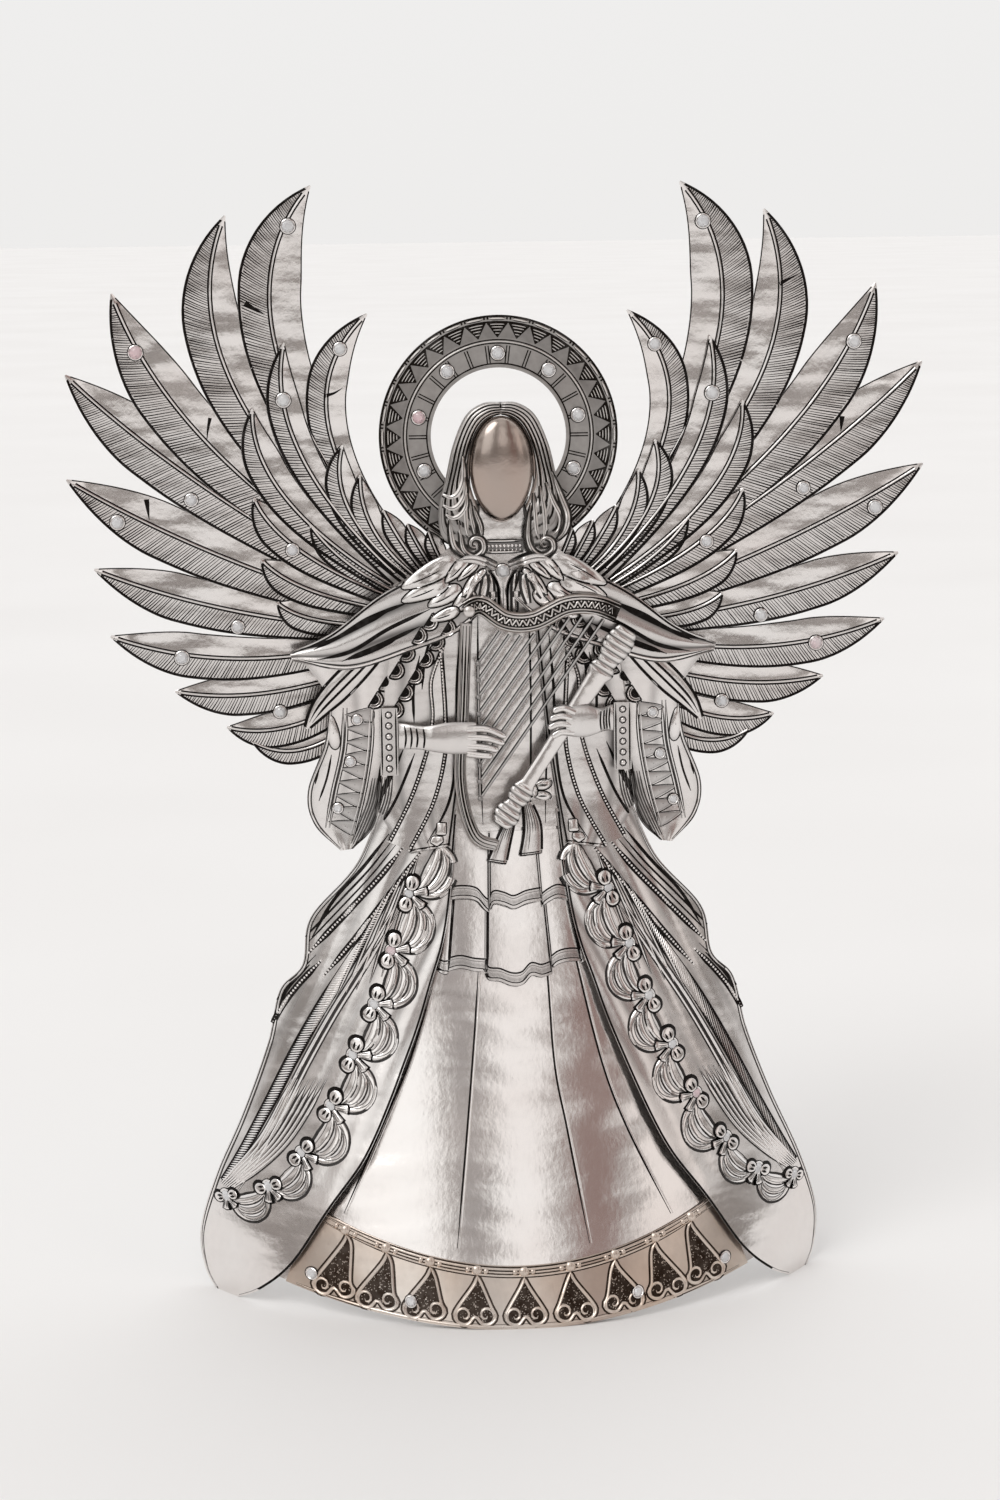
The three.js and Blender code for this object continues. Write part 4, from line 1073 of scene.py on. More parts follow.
def dressRobe(side, label):
    piece = Piece("robe_panel_" + label)
    base = layerDepth("robe")

    def fold(u):
        return np.sin(pi * 3 * u)**2

    def front(x, z, u, v):
        return bodyDepth(x, z) + base + body["sheet"] + 0.25 * fold(u)
    piece.sheet(between(robe["inner"], robe["outer"], side), 48, 60, front,
                onBody(base), lambda x, z, u, v: 0.14 + 0.35 * (1 - fold(u))**4)
    piece.settle()
    for path in robe["scallops"]:
        scallopRow(piece, path, side)
    for path in robe["folds"]:
        piece.stroke(flipped(path, side), 0.7)
    hatch(piece, sleeve["shadow"], side)
    piece.stroke(flipped(inShares(robe["inner"]), side) + (0.5 * side, 0), 0.5, ends=(1, 1))
    foot = [spline(inShares(edge), np.array([0.985]))[0] for edge in (robe["inner"], robe["outer"])]
    piece.stroke(flipped(foot, side), 0.8, ends=(1, 1))
    for tail in robe["tails"]:
        piece.pillow(resample(flipped(tail, side), 0.6, True, False)[:-1], 0.2, line=0.5, edgeTone=0.15)
    piece.strap(robe["stoleIn"], robe["stoleOut"], side, base + 1.0, edge=0.35, tone=0.08)
    for path, shift in ((robe["stoleIn"], 0.75), (robe["stoleOut"], -0.75)):
        line = flipped(np.array(path) + (shift, 0), side)
        piece.stroke(line, 1.0, ends=(0.6, 1))
        piece.beads(line, 0.42, 0.98)
    piece.stroke(flipped([robe["stoleIn"][-1], (32, 132.9), robe["stoleOut"][-1]], side), 0.7, ends=(1, 1))
    piece.make(silver, "robe_front_" + label)


def dressSleeve(side, label):
    piece = Piece("sleeve_sheet_" + label)
    base = layerDepth("sleeve")

    def fold(u):
        return np.sin(pi * 2 * u)**2

    def front(x, z, u, v):
        return bodyDepth(x, z) + base + body["sheet"] + 0.3 * fold(u)

    def tone(x, z, u, v):
        # inside is painted shade in the sleeve's opening, along its inner edge by the robe below z 150,
        # fading out by z 160
        inside = 0.4 * (1 - smooth(u, 0.05, 0.3)) * (1 - smooth(z, 150, 160))
        return 0.06 + 0.25 * (1 - fold(u))**4 + inside
    piece.sheet(between(sleeve["inner"], sleeve["outer"], side), 36, 50, front, onBody(base), tone)
    piece.settle()
    hatch(piece, sleeve["shadow"], side)
    for path in sleeve["scallops"]:
        scallopRow(piece, path, side)
    (x, z), long, wide, angle = sleeve["lobe"]
    piece.pillow(leaf((side * x, z), long, wide, turned(angle, side)), 0.5, line=0.5)
    low, high = (resample(flipped(path, side), 4.2) for path in sleeve["band"])
    count = min(len(low), len(high))
    for edge in sleeve["band"]:
        for shift in (-0.55, 0.55):
            piece.cord(flipped(edge, side) + (shift, 0), 0.45, rise=0.2)
    for k in range(count - 1):
        middle = (high[k] + high[k + 1]) / 2
        piece.pillow([low[k], low[k + 1], middle], 0.25, tone=0.3, line=0.22, rings=2)
        for share in (0.25, 0.5, 0.75):
            start = low[k] * (1 - share) + low[k + 1] * share
            piece.stroke([start, start * 0.4 + middle * 0.6], 0.2, tone=0.8, smoothed=False)
    for path in ([(51.5, 161), (53, 154), (55.5, 147)], [(54.5, 160), (56.5, 152)]):
        piece.stroke(flipped(path, side), 0.5)
    piece.stroke(flipped(inShares(sleeve["inner"][2:]), side) + (0.5 * side, 0), 0.9)
    piece.cord(flipped(inShares(sleeve["outer"][1:]), side) - (0.7 * side, 0), 0.6, rise=0.25)
    place = piece.strap(*robe["roll"], side, base + 1.0, rise=0.6, tone=0.08, edge=0.7)
    for share in (0.35, 0.62):
        t = np.linspace(0.1, 0.9, 20)
        piece.stroke(lineOn(place, share, t), 0.6, ends=(0.2, 0.2), smoothed=False)
    piece.make(silver, "sleeve_" + label)

    piece = Piece("cuff_sheet_" + label)
    base = layerDepth("cape")

    def place(u, v):
        return side * (cuff["inner"] + u * cuff["width"]), cuff["foot"] + v * cuff["height"]
    piece.sheet(place, 10, 20,
                lambda x, z, u, v: bodyDepth(x, z) + base + body["sheet"] + 0.25 * np.sin(pi * u),
                onBody(base), 0.25)
    piece.settle()
    for share in (0.1, 0.9):
        x = side * (cuff["inner"] + share * cuff["width"])
        piece.stroke([(x, cuff["foot"] + 0.2), (x, cuff["foot"] + cuff["height"] - 0.2)], 0.4)
    for z in np.linspace(cuff["foot"] + 2, cuff["foot"] + cuff["height"] - 2, cuff["studs"]):
        x = side * (cuff["inner"] + cuff["width"] / 2)
        piece.stroke(arc((x, z), 1.0, 0, 330, 10), 0.3, closed=True)
        piece.bead(x, z, 0.75, rise=0.6)
    piece.make(silver, "cuff_" + label)


dressTorso()
for side, label in bothSides:
    dressCape(side, label)
    dressRobe(side, label)
    dressSleeve(side, label)
print("robe made")

# Hands
hand = {
    "half": [(0, 0.85), (0.2, 0.75), (0.45, 1), (0.7, 0.95), (0.9, 0.6), (1, 0.2)], "halfWidth": 4.6,
    "start": 31.7,
    "left": {"length": 33.0, "rise": 166.5, "palm": 0.68,
             "fingers": [[(12, 169.2), (6, 169), (0.6, 166.6)], [(12, 166.7), (6, 166.3), (1, 164.6)],
                         [(12, 164.2), (7, 163.7), (2.8, 162.7)], [(12, 161.9), (8, 161.3), (4.6, 161)]]},
    "right": {"length": 18.5, "rise": 170.5, "palm": 0.78,
              "fingers": [[(20, 173.2), (16.5, 174.6), (13.3, 173.8)],
                          [(20, 171.2), (15.8, 172.3), (12.4, 171.4)],
                          [(19.8, 169.2), (15.4, 170), (12, 168.8)],
                          [(19.6, 167.2), (15.8, 167.5), (13, 166.2)]]},
    "fingerWidth": 2.2,
}


def dressHand(side, label):
    piece = Piece("hand_sheet_" + label)
    size = hand[label]

    def place(u, v):
        half = hand["halfWidth"] * follow(hand["half"], v * size["palm"])
        return side * (hand["start"] - v * size["palm"] * size["length"]), size["rise"] + (u * 2 - 1) * half

    def back(x, z, u, v):
        drop = 3 * body["pitch"] * (1 - smooth(v * size["palm"], 0, 0.3))
        return bodyDepth(x, z) + layerDepth("hand") - drop

    def front(x, z, u, v):
        return back(x, z, u, v) + 0.5 + halfRound(u, 0.02) * (1 - 0.4 * smooth(v, 0.85, 1))
    piece.sheet(place, 24, 40, front, back, lambda x, z, u, v: 0.12 + 0.4 * np.abs(2 * u - 1)**8)
    half = hand["fingerWidth"] / 2
    for k, path in enumerate(size["fingers"]):
        path = flipped(path, side)

        def finger(u, v, path=path):
            at = spline(path, v)
            ahead = spline(path, np.minimum(v + 0.02, 1)) - spline(path, np.maximum(v - 0.02, 0))
            ahead /= np.linalg.norm(ahead, axis=-1, keepdims=True)
            tip = np.sqrt(np.clip(1 - (np.maximum(v - 0.82, 0) / 0.19)**2, 0.02, 1))
            wide, across = half * tip * (1 - 0.12 * v), u * 2 - 1
            return at[..., 0] + ahead[..., 1] * across * wide, at[..., 1] - ahead[..., 0] * across * wide

        def top(x, z, u, v, k=k):
            dome = halfRound(u) * np.sqrt(np.clip(1 - (np.maximum(v - 0.8, 0) / 0.21)**2, 0, 1))
            return bodyDepth(x, z) + layerDepth("hand") + 0.75 + 0.75 * dome - 0.05 * k
        piece.sheet(finger, 8, 24, top, lambda x, z, u, v: bodyDepth(x, z) + layerDepth("hand") + 0.1,
                    lambda x, z, u, v: 0.05 + 0.7 * np.abs(2 * u - 1)**5)
    piece.settle()
    for share in (0.05, 0.1, 0.15, 0.21):
        x = side * (hand["start"] - share * size["length"])
        crease = [(x, size["rise"] - 3.4), (x - 0.4 * side, size["rise"]), (x, size["rise"] + 3.4)]
        piece.stroke(crease, 0.45)
    piece.make(silver, "hand_" + label)


for side, label in bothSides:
    dressHand(side, label)

# Harp
harp = {
    "neck": [(-0.09, 0.624), (-0.055, 0.629), (0, 0.615), (0.065, 0.614), (0.142, 0.627), (0.21, 0.627),
             (0.262, 0.619)],
    "neckWidth": 5.8,
    "body": [(-0.09, 0.613), (-0.1, 0.536), (-0.109, 0.469), (-0.081, 0.423), (-0.03, 0.412)],
    "bodyWidth": 3.4,
    "pillarTop": (0.285, 0.604), "pillarFoot": (-0.02, 0.43), "pillarHalf": 2.5,
    "pillar": [(0, 0.9), (0.04, 1.5), (0.08, 1.4), (0.11, 1), (0.14, 1.3), (0.18, 1.3), (0.22, 0.9),
               (0.75, 1.2),
               (0.79, 1.6), (0.83, 1.2), (0.88, 1.6), (0.94, 1.7), (1, 1.2)],
    "strings": 9, "rail": -8.2, "foot": 148.0, "pitch": 5.0, "slope": 0.72, "end": 1.1,
    "boss": (-10.6, 203.4), "wire": 0.36, "railWire": 0.32, "points": 45,
}


def barPlace(shares, width):
    points = inShares(shares)

    def place(u, v):
        at = spline(points, v)
        ahead, behind = spline(points, np.minimum(v + 0.01, 1)), spline(points, np.maximum(v - 0.01, 0))
        along = (ahead - behind) / np.linalg.norm(ahead - behind, axis=-1, keepdims=True)
        offset = (u - 0.5) * width
        return at[..., 0] + along[..., 1] * offset, at[..., 1] - along[..., 0] * offset
    return place


def dressHarpBar(name, shares, width, columns, tone):
    piece = Piece(name)
    place = barPlace(shares, width)
    base = layerDepth("harp")

    def front(x, z, u, v):
        return bodyDepth(x, z) + base + 0.8 + 1.3 * np.clip(1 - np.abs(2 * u - 1)**3, 0, 1)**0.5
    piece.sheet(place, columns, 60, front, onBody(base), tone)
    piece.settle()
    return piece, place


def dressHarp():
    barLine = np.linspace(0.01, 0.99, 24)
    piece, place = dressHarpBar("harp_neck_bar", harp["neck"], harp["neckWidth"], 14, 0.98)
    for share, wide in ((0.06, 0.8), (0.94, 0.8), (0.22, 0.6), (0.78, 0.6)):
        piece.stroke(lineOn(place, share, barLine), wide, tone=0.0, rise=0.35, lift=0.04)
    v = np.linspace(0.05, 0.95, harp["points"])
    x, z = place(np.where(np.arange(harp["points"]) % 2, 0.34, 0.66), v)
    piece.stroke(np.column_stack([x, z]), 0.5, tone=0.0, rise=0.22, smoothed=False, step=0.5)
    for k in range(0, harp["points"] - 1, 2):
        for share, shift in ((0.36, 0), (0.64, 1)):
            x, z = place(np.array([share]), np.array([v[k + shift]]))
            piece.bead(x[0], z[0], 0.3, sides=6)
    piece.bead(*harp["boss"], 1.7, rise=0.5, sides=16)
    piece.stroke(spiral(harp["boss"], 1.5, 1.2, 90), 0.35)
    piece.make(antique, "harp_neck", slot="dark_relief")

    piece, place = dressHarpBar("harp_side_bar", harp["body"], harp["bodyWidth"], 10, 0.15)
    for share in (0.22, 0.5, 0.78):
        piece.stroke(lineOn(place, share, barLine), 0.5)
    piece.make(antique, "harp_body", slot="dark_relief")

    piece = Piece("harp_pillar_turned")
    (foot, top), base = inShares([harp["pillarFoot"], harp["pillarTop"]]), layerDepth("pillar")
    foot, top = np.array(foot), np.array(top)
    along = (top - foot) / np.hypot(*(top - foot))

    def place(u, v):
        at = foot + (top - foot) * v[..., None]
        offset = (u * 2 - 1) * harp["pillarHalf"] * follow(harp["pillar"], v)
        return at[..., 0] + along[1] * offset, at[..., 1] - along[0] * offset

    def groove(v):
        return np.where((v > 0.78) | (v < 0.2), np.abs(np.sin(pi * v * 34)), 1.0)

    def front(x, z, u, v):
        return bodyDepth(x, z) + base + 0.25 + 0.85 * halfRound(u) * (0.6 + 0.4 * groove(v))
    piece.sheet(place, 16, 220, front, onBody(base),
                lambda x, z, u, v: 0.04 + 0.96 * (1 - groove(v))**2 + 0.6 * np.abs(2 * u - 1)**8)
    piece.make(silver, "harp_pillar")

    piece = Piece("harp_strings_wire")
    base = layerDepth("harp") + 0.4
    high = harp["foot"] + (harp["strings"] - 1) * harp["pitch"]

    def rodAt(places, radius):
        # a bright wire in front of a wider dark one, whose dark sides show round it as a painted shadow line
        # on the torso
        p = np.array(places, float)
        steps = np.linspace(0, 1, 14)[:, None]
        p = p[0] + (p[1] - p[0]) * steps
        depth = bodyDepth(p[:, 0], p[:, 1]) + base
        piece.rod(np.column_stack([p[:, 0], depth - 0.5, p[:, 1]]), radius + 0.14, 8, 0.0, 1.0)
        piece.rod(np.column_stack([p[:, 0], depth, p[:, 1]]), radius, 12, 0.45, 0.5)
    rodAt([(harp["rail"], harp["foot"] - 0.8), (harp["rail"], high + 0.8)], harp["railWire"])
    for k in range(harp["strings"]):
        low, end = harp["foot"] + k * harp["pitch"], high
        for _ in range(6):
            x = harp["rail"] + (end - low) * harp["slope"]
            neckLine = float(follow(harp["neck"], x / body["reach"])) * body["height"]
            end = neckLine - harp["neckWidth"] / 2 - harp["end"]
        rodAt([(harp["rail"], low), (harp["rail"] + (end - low) * harp["slope"], end)], harp["wire"])
        depth = float(bodyDepth(harp["rail"], low)) + base + 0.4
        piece.bead(harp["rail"], low, 0.85, tone=0.6, depth=depth)
    piece.make(silver, "harp_strings")


dressHarp()
print("harp made")

# Skirt, tiers and hem
skirt = {"top": 150.0,
         "half": [(0, 0.56), (0.043, 0.56), (0.11, 0.45), (0.2, 0.34), (0.3, 0.22), (0.38, 0.17),
                  (0.46, 0.14)],
         "hemRise": 8.0, "hemFlat": 8.0,
         "folds": [[(8.6, 114), (10.6, 97), (11.8, 70), (14.7, 52), (19.8, 21)],
                   [(16.8, 114), (19.7, 98), (26, 70), (32.8, 51), (45, 26)],
                   [(-9.5, 100), (-11.5, 80), (-14.5, 55), (-19, 21)],
                   [(-23.5, 92), (-31, 71), (-38.6, 55), (-51.5, 28.5)]]}
hem = {"rise": 16.5, "lift": 9.7, "point": 51.4, "topHalf": 60.0, "footHalf": 69.0,
       "nodes": [0, 13.6, 27.0, 39.5, 51.0], "gems": (-61.5, -33, 33.5, 61.5),
       "heartHalf": 6.0, "scroll": 2.7, "dots": 110, "spread": 1.08}


def hemLine(x):
    end = skirt["half"][0][1] * body["reach"]
    return skirt["hemRise"] * (np.maximum(np.abs(x) - skirt["hemFlat"], 0) / (end - skirt["hemFlat"]))**1.6


def hemTop(x):
    return hem["rise"] + hem["lift"] * (x / hem["point"])**2


def dressSkirt():
    piece = Piece("skirt_panel")

    def place(u, v):
        level = skirt["top"] * (1 - v)
        x = (u * 2 - 1) * body["reach"] * follow(skirt["half"], level / body["height"])
        return x, skirt["top"] + (hemLine(x) - skirt["top"]) * v

    def front(x, z, u, v):
        return bodyDepth(x, z) + body["sheet"] + 1.6 * ripple(x, z) - 0.02
    piece.sheet(place, 90, 120, front, onBody(0.0), 0.0)
    piece.settle()
    for path in skirt["folds"]:
        piece.stroke(path, 0.45)
        piece.stroke(np.array(path) + (0.7, 0), 0.7, tone=0.0, rise=0.14, lift=0.02)
    piece.make(silver, "skirt")


def dressHem():
    piece = Piece("hem_filigree")
    base = layerDepth("covert")

    def place(u, v):
        x = (u * 2 - 1) * (hem["topHalf"] + (hem["footHalf"] - hem["topHalf"]) * v)
        return x, hemTop(x) + (hemLine(x) - hemTop(x)) * v

    def front(x, z, u, v):
        return bodyDepth(x, z) + base + body["sheet"] - 0.05
    piece.sheet(place, 110, 16, front, onBody(base), 0.05)
    piece.settle()
    x = np.linspace(-59, 59, 60)
    for drop, wide in ((0.7, 0.8), (2.5, 0.55)):
        piece.cord(np.column_stack([x, hemTop(x) - drop]), wide, rise=0.3, smoothed=False)
    x = np.linspace(-66, 66, 60)
    piece.cord(np.column_stack([x, hemLine(x) + 0.7]), 0.8, rise=0.3, smoothed=False)
    places = [s * n for n in hem["nodes"] for s in ((1, -1) if n else (1,))]
    for at in places:
        foot, wide = at * hem["spread"], hem["heartHalf"]
        top, low = hemTop(at), float(hemLine(foot))
        high, deep = top - 3.0, low + 1.1
        drop = [(at, high), (at + 1.3, high - 2.6), (foot + wide * 0.8, deep + 4.6),
                (foot + wide, deep + 2.2),
                (foot + wide * 0.75, deep + 0.4), (foot + wide * 0.35, deep + 0.2), (foot, deep + 2.2),
                (foot - wide * 0.35, deep + 0.2), (foot - wide * 0.75, deep + 0.4),
                (foot - wide, deep + 2.2),
                (foot - wide * 0.8, deep + 4.6), (at - 1.3, high - 2.6)]
        fill = resample(drop, 0.9, closed=True)[:-1]
        piece.pillow(fill, 0.15, tone=0.96, line=0, edgeTone=0)
        for _ in range(hem["dots"]):
            share = np.sqrt(chance.random())
            pick = fill[chance.integers(len(fill))]
            dot = fill.mean(0) + (pick - fill.mean(0)) * share * 0.86
            piece.bead(dot[0], dot[1], chance.uniform(0.16, 0.3), tone=0.45, sides=5)
        piece.cord(fill, 0.95, rise=0.5, closed=True, smoothed=False, edge=0.3)
        for way in (1, -1):
            centre = (foot + way * wide * 0.52, deep + 2.5)
            curl = spiral(centre, hem["scroll"], 1.2, -80 if way > 0 else -100, way)
            piece.cord(curl, 0.8, rise=0.45, edge=0.25)
        piece.bead(at, top - 1.6, 1.65, rise=0.55, sides=12)
        for shift in (-2.6, 2.6):
            piece.bead(at + shift, hemTop(at + shift) - 1.6, 0.85, rise=0.6)
    piece.make(bronzed, "hem_border", slot="dark_relief")


tiers = {
    "lower": {"top": 122.0, "layer": "covert", "gather": 0.85, "panels": [
        (-22.0, -18.7, 0.0, [(-22, 97.5), (-20.2, 96.4), (-18.7, 96.5)]),
        (-18.9, -7.0, 0.12, [(-18.9, 97.2), (-15, 98), (-11, 97.2), (-7, 96.8)]),
        (-8.0, 12.2, 0.3, [(-8, 97.2), (-7, 94.8), (-3.5, 94.2), (0, 92.9), (3, 93.1), (5.8, 95.5),
                           (9, 94.9), (12.2, 95.8)]),
        (11.9, 21.0, 0.12, [(11.9, 97), (14, 98.4), (17, 99), (21, 98.8)]),
        (20.8, 22.6, 0.0, [(20.8, 98.2), (22.6, 98.9)])]},
    "upper": {"top": 137.0, "layer": "bodice", "gather": 0.88, "panels": [
        (-17.8, -6.0, 0.0, [(-17.8, 117.6), (-13.5, 118), (-9.5, 117.2), (-7.2, 114.6), (-6, 113.8)]),
        (-6.2, 9.8, 0.25, [(-6.2, 114), (-4.8, 116.3), (-1.5, 115.9), (1.2, 114.9), (5, 116.2),
                           (9.8, 116.9)]),
        (9.6, 17.8, 0.0, [(9.6, 115), (12, 116.6), (14.6, 117.5), (17.8, 116.6)])]},
    "band": 3.6,
}


def dressTier(label):
    piece = Piece(label + "_ruffle")
    size = tiers[label]
    base = layerDepth(size["layer"])
    rows = []
    for left, right, proud, foot in size["panels"]:
        def place(u, v, left=left, right=right, foot=foot):
            x = left + (right - left) * u
            spread = size["gather"] + (1 - size["gather"]) * v
            return x * spread, size["top"] + (follow(foot, x) - size["top"]) * v

        def front(x, z, u, v, proud=proud):
            return bodyDepth(x, z) + base + 0.55 + proud * smooth(v, 0, 0.3) + 0.22 * v * np.sin(pi * u)

        def tone(x, z, u, v, foot=foot, left=left, right=right):
            band = z < follow(foot, left + (right - left) * u) + tiers["band"]
            return 0.03 + 0.13 * band + 0.3 * (np.abs(2 * u - 1))**8
        piece.sheet(place, max(int((right - left) / 0.45), 4), 44, front, onBody(base), tone)
        rows.append((place, left, right, foot))
    piece.settle()
    for place, left, right, foot in rows:
        count = max(int((right - left) / 0.7), 4)
        u = np.linspace(0.02, 0.98, count)
        x, z = place(u, np.ones(count))
        piece.stroke(np.column_stack([x, z + 0.45]), 0.95, ends=(0.8, 0.8), step=0.6)
        piece.stroke(np.column_stack([x, z + tiers["band"]]), 0.38, ends=(1, 1), step=0.6)
        piece.stroke(np.column_stack([x, z + tiers["band"] - 0.8]), 0.2, ends=(1, 1), step=0.6, tone=0.7)
        for k in range(1, count * 2 - 1):
            (x,), (z,) = place(np.array([k / (2 * count)]), np.ones(1))
            thread = [(x, z + 1.0), (x + 0.15, z + tiers["band"] - 1.2)]
            piece.stroke(thread, 0.13, tone=0.75, smoothed=False)
        for share in (0.015, 0.985):
            piece.stroke(lineOn(place, share, np.linspace(0.02, 0.98, 9)), 0.7)
    piece.make(silver, label + "_tier")


waist = {"foot": 131.0, "top": 149.0, "half": 15.0}
sash = {"x": 9.0, "rise": 149.0, "halfWidth": 4.6, "halfHeight": 3.2,
        # ribbon loops: middle, length, width and slope
        "loops": ((10.8, 150.6, 5.6, 3.0, 12), (10.6, 147.3, 5.4, 2.8, -10), (6.2, 150, 4.6, 3.0, 165),
                  (6.2, 147, 4.4, 2.6, 190)),
        "tails": [([(1.5, 143.5), (-2.6, 136.5), (-6.2, 129)], [(3.4, 143.8), (1.6, 136.5), (-0.4, 128)]),
                  ([(4.6, 145.5), (4.9, 137.5), (3.4, 130.2)], [(7.6, 145.5), (10.2, 139), (10.3, 130.8)])]}


def dressWaist():
    piece = Piece("waist_pleats")
    base = layerDepth("covert")

    def band(u, v):
        return (u * 2 - 1) * waist["half"], waist["top"] + (waist["foot"] - waist["top"]) * v
    piece.sheet(band, 60, 16, lambda x, z, u, v: bodyDepth(x, z) + base + body["sheet"], onBody(base), 0.04)
    piece.make(silver, "waist_band")

    piece = Piece("sash_knot")
    base = layerDepth("cloak")

    def place(u, v):
        side = u * 2 - 1
        half = sash["halfHeight"] * (0.45 + 0.55 * np.abs(side))
        return sash["x"] + side * sash["halfWidth"], sash["rise"] + (v * 2 - 1) * half

    def front(x, z, u, v):
        puff = 0.5 * np.sin(pi * v) * np.abs(np.sin(2 * pi * u))
        return bodyDepth(x, z) + base + body["sheet"] + puff
    piece.sheet(place, 30, 14, front, onBody(base), 0.08)
    piece.settle()
    for x, z, long, wide, turn in sash["loops"]:
        piece.pillow(leaf((x, z), long, wide, turn, -0.3), 0.7, line=0.5)
        piece.settle()
        piece.stroke([(x - 1.2, z), (x + 1.4, z)], 0.4, lift=0.1)
    piece.pillow(leaf((8.2, 148.9), 2.0, 3.6, 0, 0), 0.9, line=0.5)
    piece.make(silver, "sash_bow")

    piece = Piece("sash_ribbons")
    for first, second in sash["tails"]:
        place = piece.strap(first, second, 1, base + 0.6, rise=0.4, tone=0.15, rows=24, edge=0.6)
        foot = np.column_stack(place(np.linspace(0.02, 0.98, 8), np.full(8, 0.985)))
        piece.stroke(foot, 0.7, ends=(1, 1), smoothed=False)
        for share in (0.2, 0.35, 0.5, 0.65, 0.8):
            t = np.linspace(0.05, 0.6 + 0.3 * (share * 10 % 2 > 1), 10)
            piece.stroke(lineOn(place, share, t), 0.22, ends=(1, 0.3), tone=0.85)
    piece.make(silver, "sash_tails")


dressSkirt()
dressHem()
dressTier("lower")
dressTier("upper")
dressWaist()
print("skirt made")

# Cloak panels with their bows and swags
cloak = {
    "inner": [(0.116, 0.44), (0.137, 0.366), (0.157, 0.326), (0.187, 0.291), (0.233, 0.24), (0.338, 0.148),
              (0.44, 0.092), (0.525, 0.043), (0.6, 0.014), (0.655, 0)],
    "outer": [(0.3, 0.44), (0.354, 0.392), (0.463, 0.342), (0.485, 0.3), (0.54, 0.274), (0.571, 0.225),
              (0.631, 0.163), (0.7, 0.103), (0.742, 0.05), (0.735, 0.016), (0.71, 0)],
    "bows": [(20.7, 136.1), (29.5, 119.8), (35.3, 103.6), (40.8, 88.3), (47.5, 73.5), (54.4, 58.7),
             (63.4, 44.8),
             (73.5, 34), (86.2, 28.4)],
    "rope": [(36.5, 117.5), (46.5, 101.5), (56.5, 86), (65, 71), (74, 54), (82, 40), (87, 32)],
    "ropeWidth": [0.9, 1.9, 2.5, 2.6, 2.4, 1.9, 1.2], "strokeGap": 0.85,
    "cords": [(3.0, 0.9), (4.5, 0.7)],
    "darkBeads": [(25.2, 132.6), (32.5, 123), (39.7, 114.3), (47.5, 104.5), (55.3, 95.3)],
    "lobes": [[(31, 133), (38, 124.5), (46, 116), (54, 107.5), (59.5, 101.5)],
              [(56, 99.5), (62.5, 92.5), (68, 85), (72.5, 76.5)]],
    "shade": [[(35, 137), (43, 127), (52, 117), (58.5, 106)], [(59.5, 98), (66.5, 90), (71, 80)]],
    "pleats": [[(26.5, 131), (33, 112), (38.5, 96)], [(28.5, 129), (35.5, 112), (42, 94)],
               [(30.8, 126.5), (38.5, 110), (46, 92)],
               [(33.4, 123.5), (41.5, 107.5), (49, 91)], [(36, 120.5), (44.5, 104.5), (52.2, 89)]],
    "swagRibs": [(2.7, 3.3), (6.1, 2.9), (9.0, 2.3)],
    # half the outline of a bow's cut end and of its loop
    "ribbon": [(1.2, -0.5), (3.3, -0.95), (5.4, -1.35), (5.8, 0)],
    "loop": [(1.2, -0.8), (2.2, -1.7), (3.8, -2.1), (5.2, -1.3), (5.6, 0)],
    "bowSize": (0.9, 0.95, 0.95, 0.95, 0.95, 0.9, 0.82, 0.75, 0.64),
    # first and last line of the fan of folds at the foot
    "fan": 7, "fanEdges": ([(54.5, 66.0), (67.0, 46.5), (84.2, 30.5)],
                           [(66.5, 64.5), (75.5, 47.5), (87.8, 31.5)]),
}
bowGems = []


def tieBow(piece, side, x, z, chain, size, ground):
    # two round loops along the chain, and two cut ribbon ends on the skirt side
    def at(along, turn, across=0.0):
        a = radians(turn)
        return np.array([x + size * (along * cos(a) - across * sin(a)),
                         z + size * (along * sin(a) + across * cos(a))])

    def outline(half, turn):
        # the given half of an outline, then the other half, which mirrors it
        return [at(along, turn, across) for along, across in half + [(u, -v) for u, v in half[-2::-1]]]
    ribbonTurns, loopTurns = (chain - 118, chain - 66), (chain + 176, chain + 4)
    for turn in ribbonTurns:
        ribbon = outline(cloak["ribbon"], turn)
        piece.pillow(flipped(ribbon, side), 0.25, line=1.1, rings=3, ground=ground, edgeTone=0.1)
    for turn in loopTurns:
        loop = resample(outline(cloak["loop"], turn), 0.7, closed=True)[:-1]
        piece.pillow(flipped(loop, side), 0.3, line=1.1, ground=ground, edgeTone=0.1)
    piece.settle()
    for turn in ribbonTurns:
        for off in (-0.45, 0, 0.45):
            crease = [at(1.9, turn, off), at(4.9, turn, off * 2)]
            piece.stroke(flipped(crease, side), 0.2, lift=0.06, tone=0.85)
    for turn in loopTurns:
        for off in (-0.8, 0.8):
            hollow = [at(2.0, turn, off * 0.7), at(4.1, turn, off)]
            piece.stroke(flipped(hollow, side), 0.6, lift=0.07, ends=(0.4, 0.2))


